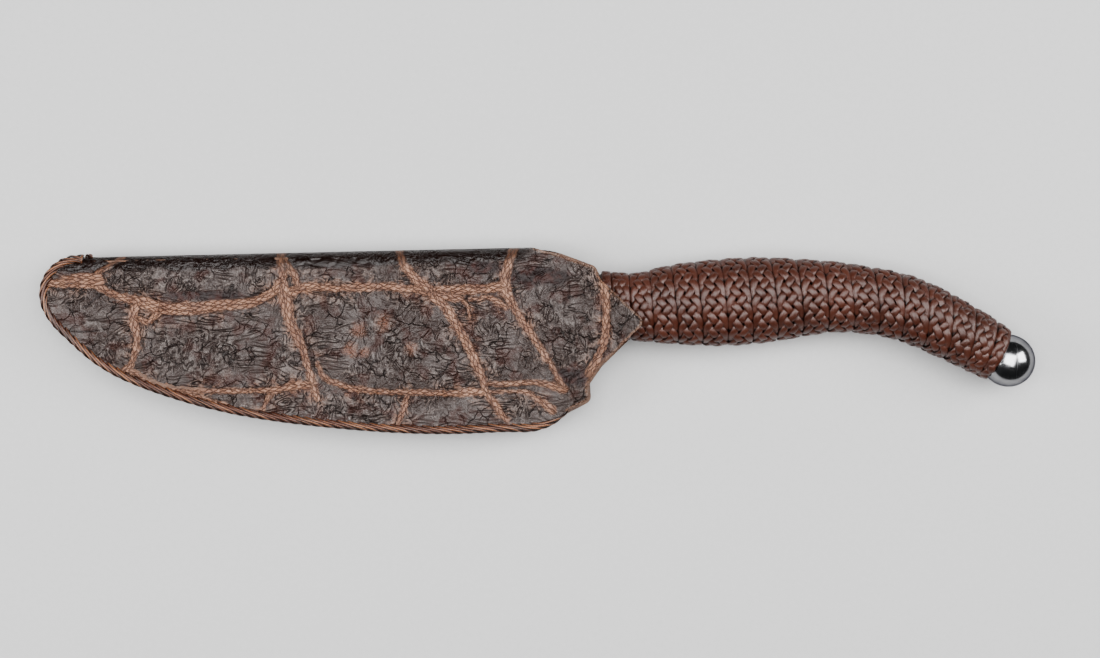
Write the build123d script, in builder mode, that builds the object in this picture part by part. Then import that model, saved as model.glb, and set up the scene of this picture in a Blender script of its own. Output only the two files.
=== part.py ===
"""A fixed-blade knife in its leather sheath.

The knife has a steel blade with a hidden tang, a two-part wooden core, a leather underlay, a row of
plaited leather ring knots and a steel ball screwed on the end of the tang.  The sheath is one folded
skin over a folded stiff liner, with a welt along the blade's edge, a laced rim and a belt loop.

Millimetres.  X runs along the knife towards the ball, Y from the cutting edge towards the spine, and Z
up out of the sheath's front face.  Pieces are drawn about the knife's mid-plane, with X = 0 at the
grip's front face, and are moved at the end so that the origin is under the middle of the whole object.
"""

import math
import os

from build123d import *

# ---- Blade and tang -------------------------------------------------------------------------------
BLADE_LENGTH = 158.0  # tip to the grip's front face
BLADE_DEPTH = 36.9  # spine to cutting edge
BLADE_THICKNESS = 3.5
SPINE_HEIGHT = 10.0  # spine above the grip's centre
TIP_DROP = 6.8  # tip below the spine
TIP_CLIP = 34.0  # length over which the spine bends down to the tip
# The cutting edge's curve: (share of the length from the tip, share of the depth below the spine).
BELLY = [(0.023, 0.297), (0.074, 0.490), (0.167, 0.680), (0.297, 0.837), (0.460, 0.944), (0.747, 1.0)]
HEEL_SETBACK = 10.0  # heel in front of the grip's front face
HEEL_RADIUS = 3.0
PLUNGE_SETBACK = 6.5  # where the grinds stop
GRIND_BELOW_SPINE = 5.0
EDGE_THICKNESS = 0.7
TIP_THICKNESS = 0.9
DISTAL_TAPER = 75.0  # length over which the blade thins towards its tip
CHOIL_RADIUS = 4.0
RICASSO_HALF = 8.5  # ricasso below the grip's centre
TANG_WIDTH = 10.0  # at the front
TANG_END_WIDTH = 6.4
STUD_DIAMETER = 5.0
STUD_ROOT = 3.0  # length of the stud inside the tang's end
STUD_PAST_CENTRE = 2.5  # how far the stud reaches past the ball's centre

# ---- Grip -----------------------------------------------------------------------------------------
# Sections of the grip: centre X and Y, lean of the section's plane in degrees, half height, half thickness.
GRIP_SECTIONS = [
    (0.0, 0.0, 0, 10.2, 5.5),
    (11.0, -0.6, 3, 10.3, 7.2),
    (22.0, 0.1, 6, 12.0, 9.3),
    (36.0, 0.7, 6, 13.1, 10.8),
    (50.0, 1.6, 6, 12.8, 10.6),
    (68.0, 2.5, 6, 10.9, 9.4),
    (80.0, 1.5, 7, 10.4, 9.0),
    (92.0, -1.1, 0, 10.3, 9.0),
    (102.0, -5.3, -3, 10.2, 9.0),
    (110.0, -9.4, -8, 9.6, 8.8),
    (116.0, -12.7, -18, 8.8, 8.5),
    (119.5, -15.0, -28, 8.3, 8.0),
]
RING_COUNT = 18
RING_GROWTH = 0.008  # each ring knot's width over the one before it
END_NARROWING = 0.6  # how much narrower the knots are at both ends
NARROWING_RINGS = 1.1  # how quickly that wears off
KNOT_THICKNESS = 2.2
KNOT_CROWN = 0.2  # ring knots stand proud in their middle
KNOT_GROOVE = 0.45  # and dip where two of them meet
UNDERLAY = 1.0
WASHER_THICKNESS = 3.0  # leather washer between blade and grip
WASHER_INSET = 0.9
TANG_CLEARANCE = 0.1
PIN_DIAMETER = 3.0
PIN_PLACES = (26.0, 58.0)  # X of the two pins through core and tang
BALL_DIAMETER = 15.875
BALL_PROUD = 4.0  # ball's centre past the grip's end plane
BALL_FLAT = 0.8  # depth of the flat where the ball is screwed down
SEAT_THICKNESS = 1.2  # steel washer under the ball
SEAT_DIAMETER = 11.0
FIT = 0.05  # radial clearance of stud and ball

# ---- Sheath ---------------------------------------------------------------------------------------
SKIN = 1.2
LINER = 1.2
BLADE_CLEARANCE = 0.3  # between blade and liner, each side
EDGE_CLEARANCE = 1.0  # between cutting edge and welt
SEAM = 11.3  # cutting edge to the sheath's rim
WEDGE = 0.032  # how fast the sheath thins from spine to rim
FOLD_AT_MOUTH = 7.4  # fold above the spine
FOLD_RADIUS = 2.6
TIP_RIM_ANGLES = (82, 112, 144, 178)  # directions from the blade's tip to the rim round it
# Guide that carries the rim up to the mouth: (in front of the heel, above the edge).
CORNER = [(15.9, 0.4), (10.8, 1.1), (8.1, 3.6)]
# Mouth of the front panel, from the end of the rim round the tongue to the end of the fold.
MOUTH = [
    (-4.2, -28.6),
    (-4.8, -23.9),
    (-0.6, -18.0),
    (12.6, -5.2),
    (-0.6, 7.3),
    (-2.7, 11.2),
    (-12.7, 14.8),
]
MOUTH_ROUNDING = (1.5, 1.5, 2.5, 2.0, 2.5, 1.5, 8.0)
FOLD_END = -21.8  # X where the fold ends and the panels part
FOLD_END_STEP = 1.5  # panels' edges start this far below the fold
BACK_PANEL_PROUD = 1.0  # back panel's edge outside the front one
FLARE = 0.22  # slope at which the mouth's panels spread over the grip
LACE_THICKNESS = 0.8
LACE_INSIDE = 2.2
LACE_OUTSIDE = 0.9
LACE_KNOT_RADIUS = 1.6
LACE_KNOT_BACK = 0.8  # the knot's centre behind the start of the fold
LACE_KNOT_SINK = 0.55  # and below it

# ---- Belt loop ------------------------------------------------------------------------------------
LOOP_FRONT = -23.0  # end of the strap nearest the mouth
LOOP_LENGTH = 76.0
LOOP_WIDTH = 30.0
LOOP_CENTRE = -5.0  # Y of the strap's centre line
LOOP_THICKNESS = 2.0
LOOP_PAD = 12.0
LOOP_ROUNDING = 1.5
BELT_GAP = 4.65
STITCH_PITCH = 4.2
STITCH_DIAMETER = 0.9
STITCH_HOLE = 0.7
STITCH_LENGTH = 2.8
STITCH_INSET = 2.6
STITCHES_PER_ROW = 6

BALL_RADIUS = BALL_DIAMETER / 2
HALF_BLADE = BLADE_THICKNESS / 2
TIP = (-BLADE_LENGTH, SPINE_HEIGHT - TIP_DROP)
EDGE_HEIGHT = SPINE_HEIGHT - BLADE_DEPTH
GRIND_TOP = SPINE_HEIGHT - GRIND_BELOW_SPINE
TAPER_SLOPE = (BLADE_THICKNESS - TIP_THICKNESS) / 2 / DISTAL_TAPER
SHEATH_HALF = HALF_BLADE + BLADE_CLEARANCE + LINER + SKIN  # half thickness over the spine
LOOP_BOTTOM = -SHEATH_HALF - BELT_GAP - LOOP_THICKNESS
FAR = 300.0  # longer than the knife, for cutting bodies
BIG = 60.0  # thicker than the knife, for cutting bodies

pieces = []


def keep(part, label):
    """Names a finished piece and puts it on the list of pieces to write."""
    part.label = label
    pieces.append(part)
    return part


# ---- Grip's shape ---------------------------------------------------------------------------------
def section(place):
    """Grip section at a place from 0, the front face, to 1, the end, on a smooth curve through them."""
    last = len(GRIP_SECTIONS) - 1
    spot = min(max(place, 0.0), 1.0) * last
    index = min(int(spot), last - 1)
    t = spot - index
    rows = [GRIP_SECTIONS[min(max(index + k, 0), last)] for k in (-1, 0, 1, 2)]
    return [
        0.5 * (2 * b + (c - a) * t + (2 * a - 5 * b + 4 * c - d) * t**2 + (3 * b - a - 3 * c + d) * t**3)
        for a, b, c, d in zip(*rows)
    ]


def section_plane(row):
    """Plane of a grip section: its local X points up the section, its normal out of the grip's end."""
    lean = math.radians(row[2])
    up = (-math.sin(lean), math.cos(lean), 0)
    return Plane(origin=(row[0], row[1], 0), x_dir=up, z_dir=(math.cos(lean), math.sin(lean), 0))


def section_face(row, inset):
    """Ellipse of a grip section, drawn inside its full size by the inset."""
    with BuildSketch(section_plane(row)) as drawn:
        Ellipse(row[3] - inset, row[4] - inset)
    return drawn.sketch


def ring_places():
    """Places along the grip where the ring knots begin and end, front to back."""
    steps = 600
    lengths = [0.0]
    for i in range(steps):
        here, there = section(i / steps), section((i + 1) / steps)
        lengths.append(lengths[-1] + math.hypot(there[0] - here[0], there[1] - here[1]))
    last = RING_COUNT - 1
    weights = [
        1
        + RING_GROWTH * i
        - END_NARROWING * (math.exp(-i / NARROWING_RINGS) + math.exp(-(last - i) / NARROWING_RINGS))
        for i in range(RING_COUNT)
    ]
    places = [0.0]
    for i in range(RING_COUNT):
        wanted = lengths[-1] * sum(weights[: i + 1]) / sum(weights)
        after = next((k for k, length in enumerate(lengths) if length >= wanted), steps)
        share = (wanted - lengths[after - 1]) / (lengths[after] - lengths[after - 1])
        places.append(min((after - 1 + share) / steps, 1.0))
    return places


places = ring_places()
end_row = section(1.0)
end_plane = section_plane(end_row)
end_direction = end_plane.z_dir
ball_centre = end_plane.origin + end_direction * BALL_PROUD
seat_face = ball_centre - end_direction * (BALL_RADIUS - BALL_FLAT)
core_end = seat_face - end_direction * SEAT_THICKNESS
stud_start = core_end - end_direction * STUD_ROOT
core_end_plane = Plane(origin=core_end, x_dir=end_plane.x_dir, z_dir=end_direction)
stud_plane = Plane(origin=stud_start, x_dir=end_plane.x_dir, z_dir=end_direction)
stud_length = (ball_centre - stud_start).length + STUD_PAST_CENTRE


def tang_face(spare):
    """Face of the tang from the blade's shoulder to the stud, with spare room round it."""
    rows = [row for row in GRIP_SECTIONS if 0 < row[0] < stud_start.X - 8]
    start = -WASHER_THICKNESS - 2.0
    over = [(0.0, TANG_WIDTH / 2 + spare)]
    under = [(0.0, -TANG_WIDTH / 2 - spare)]
    for row in rows:
        half = (TANG_WIDTH + (TANG_END_WIDTH - TANG_WIDTH) * row[0] / stud_start.X) / 2 + spare
        over.append((row[0], row[1] + half))
        under.append((row[0], row[1] - half))
    tip = stud_start + end_direction * spare
    side = end_plane.x_dir * (TANG_END_WIDTH / 2 + spare)
    over.append((tip.X + side.X, tip.Y + side.Y))
    under.append((tip.X - side.X, tip.Y - side.Y))
    with BuildSketch() as drawn:
        with BuildLine():
            Spline(*over)
            Line(over[-1], under[-1])
            Spline(*under)
            Polyline(under[0], (start, under[0][1]), (start, over[0][1]), over[0])
        make_face()
    return drawn.sketch


# ---- Blade ----------------------------------------------------------------------------------------
belly = [(-BLADE_LENGTH * (1 - along), SPINE_HEIGHT - BLADE_DEPTH * down) for along, down in BELLY]
with BuildLine() as cutting_edge:
    Spline(TIP, *belly, tangents=[(0.5, -1), (1, 0)])
edge_curve = cutting_edge.edges()[0]

with BuildPart() as blade:
    with BuildSketch():
        with BuildLine():
            add(edge_curve)
            Polyline(
                belly[-1],
                (-HEEL_SETBACK, EDGE_HEIGHT),
                (-HEEL_SETBACK, -RICASSO_HALF),
                (-WASHER_THICKNESS, -RICASSO_HALF),
                (-WASHER_THICKNESS, SPINE_HEIGHT - 1.0),
                (-WASHER_THICKNESS - 1.0, SPINE_HEIGHT),
                (TIP[0] + TIP_CLIP, SPINE_HEIGHT),
            )
            Spline((TIP[0] + TIP_CLIP, SPINE_HEIGHT), TIP, tangents=[(-1, 0), (-1, -0.45)])
        make_face()
    extrude(amount=HALF_BLADE, both=True)
    heel_line = (-HEEL_SETBACK - 0.1, -HEEL_SETBACK + 0.1)
    heel = blade.edges().filter_by(Axis.Z).filter_by_position(Axis.X, *heel_line)
    fillet(heel.sort_by(Axis.Y)[0], HEEL_RADIUS)
    choil = blade.edges().filter_by(Axis.Z).filter_by_position(Axis.X, *heel_line)
    fillet(choil.sort_by(Axis.Y)[-1], CHOIL_RADIUS)
    # Flat grinds from below the spine down to the edge, as far back as the plunge line.
    grind_slope = (HALF_BLADE - EDGE_THICKNESS / 2) / (BLADE_DEPTH - GRIND_BELOW_SPINE)
    with BuildSketch(Plane.YZ.offset(-PLUNGE_SETBACK)):
        with BuildLine():
            Polyline(
                (GRIND_TOP, HALF_BLADE),
                (EDGE_HEIGHT - 10, HALF_BLADE - grind_slope * (GRIND_TOP - EDGE_HEIGHT + 10)),
                (EDGE_HEIGHT - 10, 3 * HALF_BLADE),
                (GRIND_TOP, 3 * HALF_BLADE),
                close=True,
            )
        make_face()
        mirror(about=Plane.XZ)
    extrude(amount=-FAR, mode=Mode.SUBTRACT)
    # Distal taper towards the tip.
    with BuildSketch(Plane.XZ.offset(-FAR / 2)):
        with BuildLine():
            Polyline(
                (TIP[0] + DISTAL_TAPER, HALF_BLADE),
                (TIP[0] - 5, HALF_BLADE - TAPER_SLOPE * (DISTAL_TAPER + 5)),
                (TIP[0] - 5, 3 * HALF_BLADE),
                (TIP[0] + DISTAL_TAPER, 3 * HALF_BLADE),
                close=True,
            )
        make_face()
        mirror(about=Plane.XZ)
    extrude(amount=FAR, mode=Mode.SUBTRACT)
    # Tang and threaded stud.
    with BuildSketch():
        add(tang_face(0.0))
    extrude(amount=HALF_BLADE, both=True)
    with BuildSketch(stud_plane):
        Circle(STUD_DIAMETER / 2)
    extrude(amount=stud_length)

# ---- Grip's core, underlay and washers ------------------------------------------------------------
with BuildPart() as front_washer:
    with BuildSketch(Plane.YZ.offset(-WASHER_THICKNESS)):
        Ellipse(GRIP_SECTIONS[0][3] - WASHER_INSET, GRIP_SECTIONS[0][4] - WASHER_INSET)
        Rectangle(TANG_WIDTH + 2 * TANG_CLEARANCE, BLADE_THICKNESS, mode=Mode.SUBTRACT)
    extrude(amount=WASHER_THICKNESS)
keep(front_washer.part, "front_washer")


def grip_body(inset):
    """Grip's body inside the full size by the inset, from its front face to the seat of the ball."""
    with BuildPart() as drawn:
        for place in places:
            add(section_face(section(place), inset))
        loft(ruled=True)
        split(bisect_by=core_end_plane, keep=Keep.BOTTOM)
    return drawn.part


core_body = grip_body(KNOT_THICKNESS + UNDERLAY)
underlay_body = grip_body(KNOT_THICKNESS)

with BuildPart() as core_pins:
    with Locations(*[(x, 0, 0) for x in PIN_PLACES]):
        Cylinder(PIN_DIAMETER / 2, BIG)
    add(core_body, mode=Mode.INTERSECT)

with BuildPart() as tang_room:
    with BuildSketch():
        add(tang_face(TANG_CLEARANCE))
    extrude(amount=HALF_BLADE, both=True)
    with BuildSketch(stud_plane):
        Circle(STUD_DIAMETER / 2 + FIT)
    extrude(amount=stud_length)
    add(core_pins.part)

with BuildPart() as grip_underlay:
    add(underlay_body)
    add(core_body, mode=Mode.SUBTRACT)
    add(tang_room.part, mode=Mode.SUBTRACT)
keep(grip_underlay.part, "grip_underlay")

for label, side in (("core_front", Keep.TOP), ("core_back", Keep.BOTTOM)):
    with BuildPart() as core_half:
        add(core_body)
        split(bisect_by=Plane.XY, keep=side)
        add(tang_room.part, mode=Mode.SUBTRACT)
    keep(core_half.part, label)
keep(core_pins.part, "core_pins")

# The pins pass through the tang as well.
with BuildPart() as pinned_blade:
    add(blade.part)
    add(core_pins.part, mode=Mode.SUBTRACT)
keep(pinned_blade.part, "blade")

with BuildPart() as pommel_seat:
    with BuildSketch(core_end_plane):
        Circle(SEAT_DIAMETER / 2)
        Circle(STUD_DIAMETER / 2 + FIT, mode=Mode.SUBTRACT)
    extrude(amount=SEAT_THICKNESS)
keep(pommel_seat.part, "pommel_seat")

with BuildPart() as pommel_ball:
    with Locations(Location(ball_centre)):
        Sphere(BALL_RADIUS)
    split(bisect_by=Plane(origin=seat_face, z_dir=end_direction), keep=Keep.TOP)
    with BuildSketch(stud_plane):
        Circle(STUD_DIAMETER / 2 + FIT)
    extrude(amount=stud_length + 0.5, mode=Mode.SUBTRACT)
keep(pommel_ball.part, "pommel_ball")

# ---- Ring knots -----------------------------------------------------------------------------------
with BuildPart() as ball_room:
    with Locations(Location(ball_centre)):
        Sphere(BALL_RADIUS + FIT)

for i in range(RING_COUNT):
    start, end = section(places[i]), section(places[i + 1])
    middle = section((places[i] + places[i + 1]) / 2)
    with BuildPart() as ring_knot:
        add(section_face(start, KNOT_GROOVE))
        add(section_face(middle, -KNOT_CROWN))
        add(section_face(end, KNOT_GROOVE))
        loft()
        add(section_face(start, KNOT_THICKNESS))
        add(section_face(end, KNOT_THICKNESS))
        loft(ruled=True, mode=Mode.SUBTRACT)
        if (Vector(end[0], end[1], 0) - ball_centre).length < 2 * BALL_RADIUS:
            add(ball_room.part, mode=Mode.SUBTRACT)
    keep(ring_knot.part, f"ring_knot_{i + 1:02d}")

# ---- Sheath's outlines ----------------------------------------------------------------------------
guide = belly + [(-HEEL_SETBACK - ahead, EDGE_HEIGHT + above) for ahead, above in CORNER]
with BuildLine() as rim_guide:
    Spline(TIP, *guide, tangents=[(0.5, -1), (0.77, 0.64)])
guide_curve = rim_guide.edges()[0]


def rim_points(spare):
    """Points of the sheath's rim, or of a line outside it by the spare, from the fold round to the mouth."""
    reach = SEAM + spare
    turns = [math.radians(angle) for angle in TIP_RIM_ANGLES]
    points = [(TIP[0] + reach * math.cos(turn), TIP[1] + reach * math.sin(turn)) for turn in turns]
    samples = 22
    for k in range(samples + 1):
        share = (k / samples) ** 1.4
        spot = guide_curve.position_at(share)
        along = guide_curve.tangent_at(share)
        points.append((spot.X + along.Y * reach, spot.Y - along.X * reach))
    return points


fold_start = Vector(*rim_points(0.0)[0])
rim_end = Vector(*rim_points(0.0)[-1])
fold_end = Vector(FOLD_END, SPINE_HEIGHT + FOLD_AT_MOUTH)
along_fold = (fold_end - fold_start).normalized()
above_fold = Vector(-along_fold.Y, along_fold.X, 0)
up_mouth = (fold_end - rim_end).normalized()
out_of_mouth = Vector(up_mouth.Y, -up_mouth.X, 0)
mouth_plane = Plane(origin=fold_end, x_dir=up_mouth, z_dir=out_of_mouth)
profile_plane = Plane(origin=fold_start - along_fold * 40, x_dir=above_fold, z_dir=along_fold)
RIDGE = FOLD_AT_MOUTH + GRIND_BELOW_SPINE  # below the fold, where the faces start to close in
ridge_point = fold_end - up_mouth * RIDGE


def rim_face(spare):
    """Plan of the sheath within its rim, with room above the fold and past the mouth."""
    points = rim_points(spare)
    with BuildSketch() as drawn:
        with BuildLine():
            Spline(*points)
            Polyline(points[-1], (BIG, points[-1][1]), (BIG, BIG), (points[0][0], BIG), points[0])
        make_face()
    return drawn.sketch


def envelope(depth, spare):
    """The sheath behind its mouth line as a solid, its faces inside the skin's by the depth."""
    half = SHEATH_HALF - depth
    low = 1.25 * (FOLD_AT_MOUTH + BLADE_DEPTH + SEAM)
    thin = half - WEDGE * (low - RIDGE)
    with BuildPart() as drawn:
        with BuildSketch(profile_plane) as profile:
            with BuildLine():
                Polyline(
                    (-depth, half),
                    (-RIDGE, half),
                    (-low, thin),
                    (-low, -thin),
                    (-RIDGE, -half),
                    (-depth, -half),
                    close=True,
                )
            make_face()
            if FOLD_RADIUS - depth > 0.3:
                fillet(profile.vertices().sort_by(Axis.X)[-2:], FOLD_RADIUS - depth)
        extrude(amount=FAR)
        with BuildSketch():
            add(rim_face(spare))
        extrude(amount=BIG, both=True, mode=Mode.INTERSECT)
        split(bisect_by=mouth_plane, keep=Keep.BOTTOM)
        for side in (1, -1):
            corner = (TIP[0] + DISTAL_TAPER, 0, side * half)
            split(bisect_by=Plane(origin=corner, z_dir=(-TAPER_SLOPE, 0, side)), keep=Keep.BOTTOM)
    return drawn.part


def mouth_face(spare):
    """Plan of a panel past the mouth line, its edge outside the front panel's by the spare."""
    top = fold_end - up_mouth * FOLD_END_STEP
    with BuildSketch() as drawn:
        with BuildLine():
            Polyline((rim_end.X, rim_end.Y), *MOUTH, (top.X, top.Y), close=True)
        make_face()
        for point, radius in zip(MOUTH, MOUTH_ROUNDING):
            fillet(drawn.vertices().sort_by_distance(Vector(*point))[0], radius)
        if spare:
            offset(amount=spare)
    return drawn.sketch


def panel(depth, spare):
    """Room under a spread panel past the mouth line, its face inside the skin's by the depth."""
    half = SHEATH_HALF - depth
    flat = Vector(0, 0, 1) - out_of_mouth * FLARE
    closing = flat - above_fold * WEDGE
    with BuildPart() as drawn:
        with BuildSketch():
            add(mouth_face(spare))
        extrude(amount=BIG)
        split(bisect_by=mouth_plane, keep=Keep.TOP)
        split(bisect_by=Plane(origin=fold_end + Vector(0, 0, half), z_dir=flat), keep=Keep.BOTTOM)
        split(bisect_by=Plane(origin=ridge_point + Vector(0, 0, half), z_dir=closing), keep=Keep.BOTTOM)
    return drawn.part


def layer(depth, rim_spare, panel_spare, back_spare):
    """The whole sheath as a solid, its faces inside the skin's by the depth."""
    front = panel(depth, panel_spare)
    back = mirror(panel(depth, back_spare), about=Plane.XY)
    return envelope(depth, rim_spare) + front + back


outside = layer(0.0, 0.0, 0.0, BACK_PANEL_PROUD)
under_skin = layer(SKIN, 5.0, 5.0, 5.0)
under_liner = layer(SKIN + LINER, 5.0, 5.0, 5.0)

# ---- Belt loop and its stitching ------------------------------------------------------------------
loop_back = LOOP_FRONT - LOOP_LENGTH
pad_face = -SHEATH_HALF - LOOP_THICKNESS  # Z of the strap's outer face on its pads
stitch_rows = [
    LOOP_FRONT - STITCH_INSET,
    LOOP_FRONT - LOOP_PAD + STITCH_INSET,
    loop_back + LOOP_PAD - STITCH_INSET,
    loop_back + STITCH_INSET,
]
row_start = LOOP_CENTRE - (STITCHES_PER_ROW - 1) / 2 * STITCH_PITCH
stitch_places = [(x, row_start + k * STITCH_PITCH) for x in stitch_rows for k in range(STITCHES_PER_ROW)]
leg_length = LOOP_THICKNESS + 0.8 * SKIN
with BuildPart() as loop_stitching:
    with Locations(*[(x, y, pad_face) for x, y in stitch_places]):
        Cylinder(STITCH_DIAMETER / 2, STITCH_LENGTH, rotation=(90, 0, 0))
    legs = [(x, y + side * (STITCH_LENGTH - STITCH_DIAMETER) / 2) for x, y in stitch_places for side in (-1, 1)]
    with Locations(*[(x, y, pad_face + leg_length / 2) for x, y in legs]):
        Cylinder(STITCH_HOLE / 2, leg_length)

mitre = LOOP_THICKNESS * math.tan(math.radians(22.5))
with BuildPart() as belt_loop:
    with BuildSketch(Plane.XZ.offset(-LOOP_CENTRE)) as profile:
        bend = LOOP_FRONT - LOOP_PAD
        other_bend = loop_back + LOOP_PAD
        inner_bends = [
            (bend - mitre, pad_face + LOOP_THICKNESS),
            (bend - BELT_GAP - mitre, LOOP_BOTTOM + LOOP_THICKNESS),
            (other_bend + BELT_GAP + mitre, LOOP_BOTTOM + LOOP_THICKNESS),
            (other_bend + mitre, pad_face + LOOP_THICKNESS),
        ]
        outer_bends = [
            (other_bend, pad_face),
            (other_bend + BELT_GAP, LOOP_BOTTOM),
            (bend - BELT_GAP, LOOP_BOTTOM),
            (bend, pad_face),
        ]
        with BuildLine():
            Polyline(
                (LOOP_FRONT, pad_face),
                (LOOP_FRONT, pad_face + LOOP_THICKNESS),
                *inner_bends,
                (loop_back, pad_face + LOOP_THICKNESS),
                (loop_back, pad_face),
                *outer_bends,
                close=True,
            )
        make_face()
        for point in inner_bends + outer_bends:
            fillet(profile.vertices().sort_by_distance(Vector(*point))[0], LOOP_ROUNDING)
    extrude(amount=LOOP_WIDTH / 2, both=True)
    # Pads grow up to the skin, which closes in towards the rim.
    pad_size = (LOOP_PAD - LOOP_ROUNDING, LOOP_WIDTH, SKIN)
    for x in (LOOP_FRONT - pad_size[0] / 2, loop_back + pad_size[0] / 2):
        with Locations((x, LOOP_CENTRE, -SHEATH_HALF + SKIN / 2)):
            Box(*pad_size)
    ends = belt_loop.edges().filter_by(Axis.Z)
    fillet(ends.group_by(Axis.X)[0] + ends.group_by(Axis.X)[-1], LOOP_ROUNDING)
    add(outside, mode=Mode.SUBTRACT)
    add(loop_stitching.part, mode=Mode.SUBTRACT)

# ---- Sheath ---------------------------------------------------------------------------------------
with BuildPart() as sheath_skin:
    add(outside)
    add(under_skin, mode=Mode.SUBTRACT)
    add(loop_stitching.part, mode=Mode.SUBTRACT)
keep(sheath_skin.part, "sheath_skin")

with BuildPart() as sheath_liner:
    add(outside)
    add(under_skin, mode=Mode.INTERSECT)
    add(under_liner, mode=Mode.SUBTRACT)
keep(sheath_liner.part, "sheath_liner")

# The welt fills the liner from the rim up to the blade's room, which is open towards the mouth.
room_edge = [(TIP[0] - EDGE_CLEARANCE, TIP[1])]
for k in range(1, 10):
    spot = edge_curve.position_at(k / 9)
    along = edge_curve.tangent_at(k / 9)
    room_edge.append((spot.X + along.Y * EDGE_CLEARANCE, spot.Y - along.X * EDGE_CLEARANCE))
with BuildPart() as welt:
    add(envelope(SKIN + LINER, 0.0))
    with BuildSketch():
        with BuildLine():
            Spline(*room_edge)
            Polyline(room_edge[-1], (BIG, room_edge[-1][1]), (BIG, BIG), (room_edge[0][0], BIG), room_edge[0])
        make_face()
    extrude(amount=BIG, both=True, mode=Mode.SUBTRACT)
keep(welt.part, "welt")

with BuildPart() as edge_lace:
    add(envelope(-LACE_THICKNESS, 5.0))
    with BuildSketch():
        with BuildLine():
            outer, inner = rim_points(LACE_OUTSIDE), rim_points(-LACE_INSIDE)
            Spline(*outer)
            Line(outer[-1], inner[-1])
            Spline(*inner)
            Line(inner[0], outer[0])
        make_face()
    extrude(amount=BIG, both=True, mode=Mode.INTERSECT)
    add(outside, mode=Mode.SUBTRACT)
keep(edge_lace.part, "edge_lace")

with BuildPart() as lace_knot:
    with Locations((fold_start.X + LACE_KNOT_BACK, fold_start.Y - LACE_KNOT_SINK, 0)):
        Sphere(LACE_KNOT_RADIUS)
    add(outside, mode=Mode.SUBTRACT)
    add(edge_lace.part, mode=Mode.SUBTRACT)
keep(lace_knot.part, "lace_knot")
keep(belt_loop.part, "belt_loop")
keep(loop_stitching.part, "loop_stitching")

# ---- Placing and writing --------------------------------------------------------------------------
boxes = [piece.bounding_box() for piece in pieces]
low = [min(getattr(box.min, side) for box in boxes) for side in "XYZ"]
high = [max(getattr(box.max, side) for box in boxes) for side in "XYZ"]
middle = Location((-(low[0] + high[0]) / 2, -(low[1] + high[1]) / 2, -low[2]))

os.makedirs("parts", exist_ok=True)
for piece in pieces:
    placed = piece.moved(middle)
    placed.label = piece.label
    export_step(placed, f"parts/{piece.label}.step")
    print(piece.label, round(piece.volume, 1))
print("size", [round(b - a, 2) for a, b in zip(low, high)], "moved by", middle.position)
print("floor", round(low[2], 3), "loop", LOOP_BOTTOM)
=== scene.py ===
"""Looks of the sheathed knife: crocodile skin, lacing, plaited ring knots, steel ball and studio.

The script is laid out as a Blender add-on and is run as a script.  Lengths in the tables are in
millimetres, measured from the grip's front face (X), the grip's centre there (Y) and the blade's middle
plane (Z); `place` turns them into the row frame's metres.
"""

import math
import random

import bmesh
import bpy
import numpy as np
from bpy.props import FloatProperty, FloatVectorProperty, IntProperty, PointerProperty
from mathutils import Matrix, Vector, noise


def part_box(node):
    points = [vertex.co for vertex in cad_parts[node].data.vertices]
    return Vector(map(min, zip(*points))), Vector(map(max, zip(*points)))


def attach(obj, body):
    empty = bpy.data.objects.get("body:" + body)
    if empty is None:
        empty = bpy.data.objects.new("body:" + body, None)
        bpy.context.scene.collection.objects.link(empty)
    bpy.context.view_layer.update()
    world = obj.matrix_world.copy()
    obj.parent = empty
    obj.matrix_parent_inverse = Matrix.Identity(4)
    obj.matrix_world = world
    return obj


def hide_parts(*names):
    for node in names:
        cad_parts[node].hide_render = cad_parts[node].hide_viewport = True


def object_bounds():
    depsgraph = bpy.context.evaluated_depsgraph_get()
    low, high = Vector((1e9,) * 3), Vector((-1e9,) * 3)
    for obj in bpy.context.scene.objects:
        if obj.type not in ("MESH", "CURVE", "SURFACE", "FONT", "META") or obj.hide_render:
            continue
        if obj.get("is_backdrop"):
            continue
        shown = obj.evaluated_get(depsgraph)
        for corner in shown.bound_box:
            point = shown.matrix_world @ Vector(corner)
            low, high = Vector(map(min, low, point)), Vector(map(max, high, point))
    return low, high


bl_info = {
    "name": "Sheathed knife",
    "version": (1, 0, 0),
    "blender": (4, 5, 0),
    "location": "View3D > Sidebar > Knife",
    "description": "Builds the looks of a knife with a plaited grip in a crocodile-leather sheath",
    "category": "Object",
}

MM = 0.001

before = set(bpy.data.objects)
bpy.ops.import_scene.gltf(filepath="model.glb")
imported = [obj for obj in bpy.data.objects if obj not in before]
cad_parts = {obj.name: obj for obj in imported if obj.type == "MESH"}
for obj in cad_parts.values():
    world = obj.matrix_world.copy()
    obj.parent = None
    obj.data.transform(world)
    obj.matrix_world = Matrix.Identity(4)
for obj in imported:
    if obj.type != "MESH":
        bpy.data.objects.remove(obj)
bounds_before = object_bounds()

# Where the drawing's zero lies in the row frame.
washer_low, washer_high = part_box("front_washer")
ZERO = Vector((washer_high.x, (washer_low.y + washer_high.y) / 2, (washer_low.z + washer_high.z) / 2))

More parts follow.
